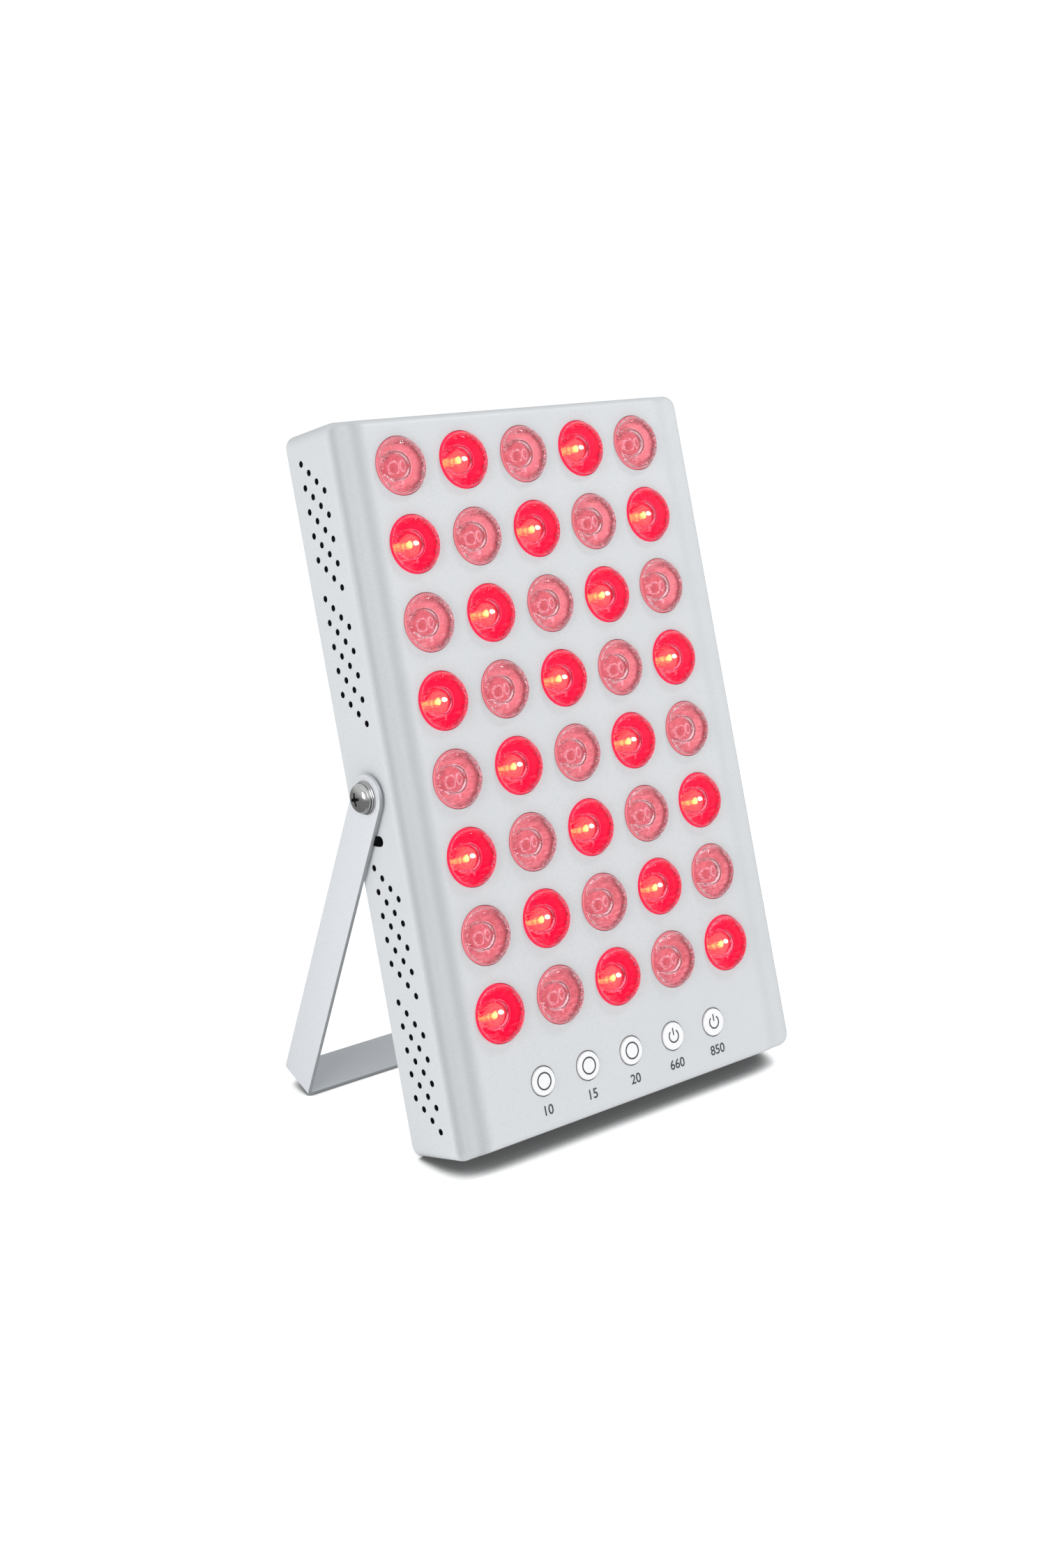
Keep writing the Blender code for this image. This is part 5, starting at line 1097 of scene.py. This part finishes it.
def make_fan():
    """Frame with its hub and struts, and the rotor with seven twisted blades.

    A blade's section is 1.1 sin t (1 - 0.35 cos t) thick along a chord that grows outward, pitched so
    that it always rises by the same height, and swept by the square of the way out.
    """
    bore = rod(FAN_BORE / 2, 96, 2.0, 20.0)
    for x, z in fan_screws():
        bore += rod(SCREW_HOLE, 16, 2.0, 20.0, (x, z - FAN_UP))
    hub = turned([(0, 15.5), (FAN_HUB - 0.6, 15.5), (FAN_HUB, 14.9), (FAN_HUB, 12.5), (0, 12.5)], 64)
    arm = plate(26.0, 3.6, 0.6, 3, 12.6, 15.4, (26.4, 0))
    arms = sum(arm.spun(k * QUARTER_TURN) for k in range(4))
    body = worked(soft_plate(FAN_WIDTH, FAN_WIDTH, 5.0, 6, 6.0, 16.0, 0.4),
                  cut(bore), cut(hub, "UNION"), cut(arms, "UNION"))
    placed("fan_housing", body, "black", stands_for="fan_frame",
           at=carrying(TO_BACK, (0, 0, FAN_UP)))

    span = np.linspace(0, 1, 15)[:, None]
    loop = np.linspace(0, FULL_TURN, 28, endpoint=False)
    root, tip = FAN_HUB - 1.5, FAN_BORE / 2 - 1.5
    radius = root + (tip - root) * span
    chord = 13.0 + 8.5 * span
    pitch = np.arcsin(4.9 / chord)
    along = chord / 2 * np.cos(loop)
    thick = 0.55 * np.sin(loop) * (1 - 0.35 * np.cos(loop))
    lift = along * np.sin(pitch) + thick * np.cos(pitch)
    turn = (along * np.cos(pitch) - thick * np.sin(pitch) + 3.0 * span ** 2) / radius
    rings = np.stack((radius * np.cos(turn), radius * np.sin(turn), 9.2 + lift), -1)
    caps = np.repeat(rings[[0, -1]].mean(1, keepdims=True), len(loop), 1)
    blade = sheet_of(np.concatenate((caps[:1], rings, caps[1:])), round_columns=True)
    rotor = turned([(0, 12.2), (FAN_HUB - 1.4, 12.2), (FAN_HUB - 0.2, 11.4), (FAN_HUB, 10.8),
                    (FAN_HUB, 6.3), (FAN_HUB - 0.3, 6.2), (0, 6.2)], 64)
    rotor += sum(blade.spun(FULL_TURN * k / 7) for k in range(7))
    placed("fan_blades", rotor.facing(TO_BACK).moved(z=FAN_UP), "black", "fan",
           "fan_rotor", sharp=40)


def make_fan_guard():
    """Chromed wire: three rings on four spokes, with a flat eye at each screw."""
    wire, ring_level, spoke_level = 0.8, FITTING_BACK + 2.0, FITTING_BACK + 0.8
    rings = [at_level(rod_outline(FAN_BORE / 2 * share, 96), ring_level) for share in (0.29, 0.59, 0.895)]
    reach = np.linspace(6.9, FAN_SCREWS - 2.4, 12)
    spoke = tube(np.column_stack((reach, reach, np.full(12, spoke_level))), wire, 14)
    eye = turned([(1.8, 0.05), (3.9, 0.05), (4.0, 0.15), (4.0, 1.05), (3.9, 1.15), (1.8, 1.15),
                  (1.8, 0.05)], 36)
    corner = spoke + eye.moved(FAN_SCREWS, FAN_SCREWS, FITTING_BACK)
    guard = sum(tube(line, wire, 14, closed=True) for line in rings)
    guard += sum(corner.spun(k * QUARTER_TURN) for k in range(4))
    placed("fan_grille", guard.facing(TO_BACK).moved(z=FAN_UP), "steel", stands_for="fan_guard")


def screw_mesh(length):
    """A pan-head screw with a cross recess; its head's seat is at height 0."""
    angle = np.linspace(QUARTER_TURN, 0, 8)
    dome = np.stack((2.5 * np.cos(angle), 0.55 + 1.25 * np.sin(angle)), -1)
    shank = [(2.75, 0.5), (2.8, 0.4), (2.8, 0.1), (2.7, 0), (1.5, 0), (1.5, 0.4 - length), (1.1, -length),
             (0, -length)]
    return worked(turned(np.vstack((dome, shank)), 32), cut(cross_recess(1.5, 0.36, 0.7, 3.0)))


def make_screws():
    """The screws that show at the back, each turned on by its own amount."""
    for kind, places, level, length in (("cover_screw", cover_screws(), FITTING_BACK, 6.0),
                                        ("fan_screw", fan_screws(), FITTING_BACK + 1.5, 12.0)):
        pattern = screw_mesh(length)
        pattern.transform(carrying(TO_BACK))
        for i, (x, z) in enumerate(places):
            placed(f"{kind}_head_{i + 1}", pattern.copy(), "zinc", stands_for=f"{kind}_{i + 1}",
                   at=Matrix.Translation((x, level, z)) @ Matrix.Rotation(0.7 * i, 4, "Y"))


def inlet_outline(inset):
    """The inlet's outline drawn in by inset: a rectangle with its two upper corners cut off."""
    across, up, corner = 13.5 - inset, 10.0 - inset, 3.5
    return np.array(((across, -up), (across, up - corner), (across - corner, up), (corner - across, up),
                     (-across, up - corner), (-across, -up)))


def make_inlet():
    """The mains inlet: flange and body in one, the well, and three pins in it."""
    body = worked(soft_plate(31.4, 24.4, 2.2, 5, 0.0, 2.0, 0.5),
                  cut(prism(inlet_outline(0.0), -14.0, 0.4), "UNION"),
                  cut(prism(inlet_outline(1.4), -12.0, 4.0)), bevelled(0.25))
    pin = soft_plate(2.0, 4.0, 0.5, 3, -12.2, -5.0, 0.35)
    pins = sum(pin.moved(x, z) for x, z in ((-7.0, 0.0), (0.0, 2.0), (7.0, 0.0)))
    place = carrying(TO_BACK, (INLET_ACROSS, FITTING_BACK, FITTINGS_UP))
    placed("inlet_socket", body, "black", stands_for="mains_inlet", at=place)
    placed("inlet_pins", pins, "pin", stands_for="mains_inlet", at=place)


def make_switch():
    """The switch: flanged body with its well, and the hollow-topped rocker with its two marks.

    The rocker's top is a saddle, height = valley + (crest - valley) t^2 along its length. Its higher end
    stands level with the flange, and its keel clears the well's floor by the gap.
    """
    tilt, crest, valley = math.radians(9), 4.2, 2.6
    flange_height, half_well, half_slot, keel_drop = 1.6, 9.5 - 0.8, 6.5 - 1.6, 1.5
    reach = (half_well - GAP - crest * math.sin(tilt)) / math.cos(tilt)
    low_side = crest * math.cos(tilt) - reach * math.sin(tilt)
    pivot = flange_height + 0.3 - low_side
    keel = reach - 1.8
    floor = pivot - keel_drop * math.cos(tilt) - keel * math.sin(tilt) - GAP
    body = worked(soft_plate(16.0, 22.0, 1.5, 5, 0.0, flange_height, 0.45),
                  cut(plate(13.0, 19.0, 0.5, 3, -11.0, 0.4), "UNION"),
                  cut(plate(2 * half_slot, 2 * half_well, 0.3, 3, floor, 4.0)))
    placed("switch_frame", body, "black", stands_for="switch_body",
           at=carrying(TO_BACK, (-INLET_ACROSS, FITTING_BACK, FITTINGS_UP)))

    t = np.linspace(-1, 1, 25)
    saddle = np.stack((valley + (crest - valley) * t ** 2, reach * t), -1)
    section = np.vstack((saddle, [(-keel_drop, keel), (-keel_drop, -keel)]))
    rocker = prism(section, -(half_slot - GAP), half_slot - GAP)
    lean = Matrix.Translation((-INLET_ACROSS, FITTING_BACK + pivot, FITTINGS_UP)) @ Matrix.Rotation(
        tilt, 4, "X")
    placed("rocker_cap", worked(rocker.facing(TO_RIGHT), bevelled(0.35, 3, 35)), "black",
           "rocker", "switch_rocker", at=lean)
    bar = plate(0.55, 2.6, 0.2, 3, 0, 0.06)
    for label, sign, up in (("on", bar, 4.6), ("off", symbol_ring(1.25, 0.5), -4.6)):
        level = valley + (crest - valley) * (up / reach) ** 2
        slope = math.atan2(2 * (crest - valley) * up / reach ** 2, 1)
        placed(f"rocker_mark_{label}", sign.facing(TO_BACK), "mark", "rocker",
               at=lean @ Matrix.Translation((0, level, up)) @ Matrix.Rotation(-slope, 4, "X"))


# ---------------------------------------------------------------- what the frame brings along

CARRIED = {
    "board": ["led_board"], "control_board": ["control_board"], "sink": ["heat_sink"],
    "supply": ["power_supply"],
    "zinc": [f"board_screw_{i}" for i in range(1, 5)] + ["pivot_nut_left", "pivot_nut_right",
                                                         "control_post_left", "control_post_right"],
    "lead": ["switch_lead", "supply_lead", "neutral_lead", "board_lead", "fan_lead", "control_lead"],
}


def dress_carried_nodes():
    """Finishes for the pieces inside, which show as the frame has them."""
    for finish, names in CARRIED.items():
        for name in names:
            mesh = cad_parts[name]
            for slot in mesh.material_slots:
                slot.material = FINISH[finish]


# ---------------------------------------------------------------- studio

def studio_floor():
    """Pale matt card: a faint grain, and a painted shadow, darker in colour and glow where something stands
    close over it.
    """
    material, shader = new_material("studio_floor", {"Roughness": 0.9, "Specular IOR Level": 0.1,
                                                     "Emission Strength": 0.45})
    tree = material.node_tree
    pale = mixed(noise(object_place(tree), 250.0), (0.93, 0.93, 0.93, 1), (0.91, 0.91, 0.91, 1))
    open_to_sky = value(tree, "AmbientOcclusion", {"Distance": 0.029}, "AO", samples=16)
    shade = ramp(open_to_sky, (0.25, 0.08), (0.63, 0.86), (0.8, 1.0))
    mixed(shade, (0.05, 0.055, 0.055, 1), pale).feed(shader["Base Color"])
    seen = value(tree, "LightPath", output="Is Camera Ray")
    (shade * maths("MULTIPLY_ADD", seen, 0.5, 1.0)).feed(shader["Emission Color"])
    return material


def make_floor():
    """A level pale floor, wide enough to run out of every view; the backdrop beyond it is as pale."""
    reach = np.linspace(-FLOOR_REACH, FLOOR_REACH, 17)
    across, back = np.meshgrid(reach, reach, indexing="ij")
    shape = sheet_of(np.stack((across, back, np.zeros_like(across)), -1))
    mesh = bpy.data.meshes.new("floor")
    mesh.from_pydata(shape.points.tolist(), [], shape.chunks[0][0].tolist())
    mesh.materials.append(studio_floor())
    thing = new_object("studio_floor", mesh)
    thing.visible_glossy = False


def add_light(name, place, aim, size, power, colour=(1, 1, 1)):
    """A rectangle of light at a place, turned to what it lights."""
    light = bpy.data.lights.new(name, "AREA")
    light.shape = "RECTANGLE"
    light.size, light.size_y = size
    light.energy = power
    light.color = colour
    thing = new_object(name, light)
    turn = (Vector(aim) - Vector(place)).to_track_quat("-Z", "Y")
    thing.matrix_world = Matrix.Translation(place) @ turn.to_matrix().to_4x4()
    return thing


def make_studio():
    """World, lights and camera.

    The world is white to the camera. It lights most from near the horizon, and in mirrors it goes from
    grey below to white above.
    """
    world = bpy.data.worlds.new("studio")
    world.use_nodes = True
    tree = world.node_tree
    sky = tree.nodes["Background"].inputs
    up = parts(value(tree, "TexCoord", output="Generated"))[2]
    height = maths("MULTIPLY_ADD", up, 0.5, 0.5)
    around = ramp(height, (0.5, (0.98, 0.99, 1.0)), (1.0, (0.34, 0.345, 0.35)))
    mirrored = ramp(height, (0.4, 0.34), (0.66, 1.0))
    lighting = mixed(value(tree, "LightPath", output="Is Glossy Ray"), around, mirrored)
    seen = value(tree, "LightPath", output="Is Camera Ray")
    mixed(seen, lighting, (1.3, 1.3, 1.3, 1)).feed(sky["Color"])
    sky["Strength"].default_value = 0.8
    bpy.context.scene.world = world
    add_light("key", (0.68, -0.30, 1.34), (0, 0, 0.15), (0.16, 0.10), 3.5)
    add_light("fill", (-1.9, -0.6, 0.9), (0, 0, 0.12), (1.2, 1.2), 14.6, (1.0, 0.975, 0.98))
    add_light("front", (1.1, -1.5, 0.9), (0, 0, 0.15), (1.0, 1.0), 8.0).visible_glossy = False
    add_light("top", (0.0, 0.1, 1.7), (0, 0, 0), (1.6, 1.6), 1.5)

    scene = bpy.context.scene
    scene.view_settings.view_transform = "Standard"
    scene.view_settings.look = "None"
    lens = bpy.data.cameras.new("camera")
    lens.lens, lens.sensor_width, lens.clip_start = 46.825, 36.0, 0.01
    lens.shift_x, lens.shift_y = 0.0046, -0.0685
    thing = new_object("camera", lens)
    thing.matrix_world = Matrix(((0.77112519, 0.14280755, -0.62046108, -0.58332),
                                 (-0.63637548, 0.2031912, -0.7441368, -0.67275),
                                 (0.01980388, 0.96866885, 0.24756507, 0.42020), (0, 0, 0, 1)))
    scene.camera = thing


make_floor()
make_studio()
make_housing()
make_rear_cover()
make_lenses()
make_buttons()
make_stand()
make_pivots()
make_fan()
make_fan_guard()
make_screws()
make_inlet()
make_switch()
dress_carried_nodes()
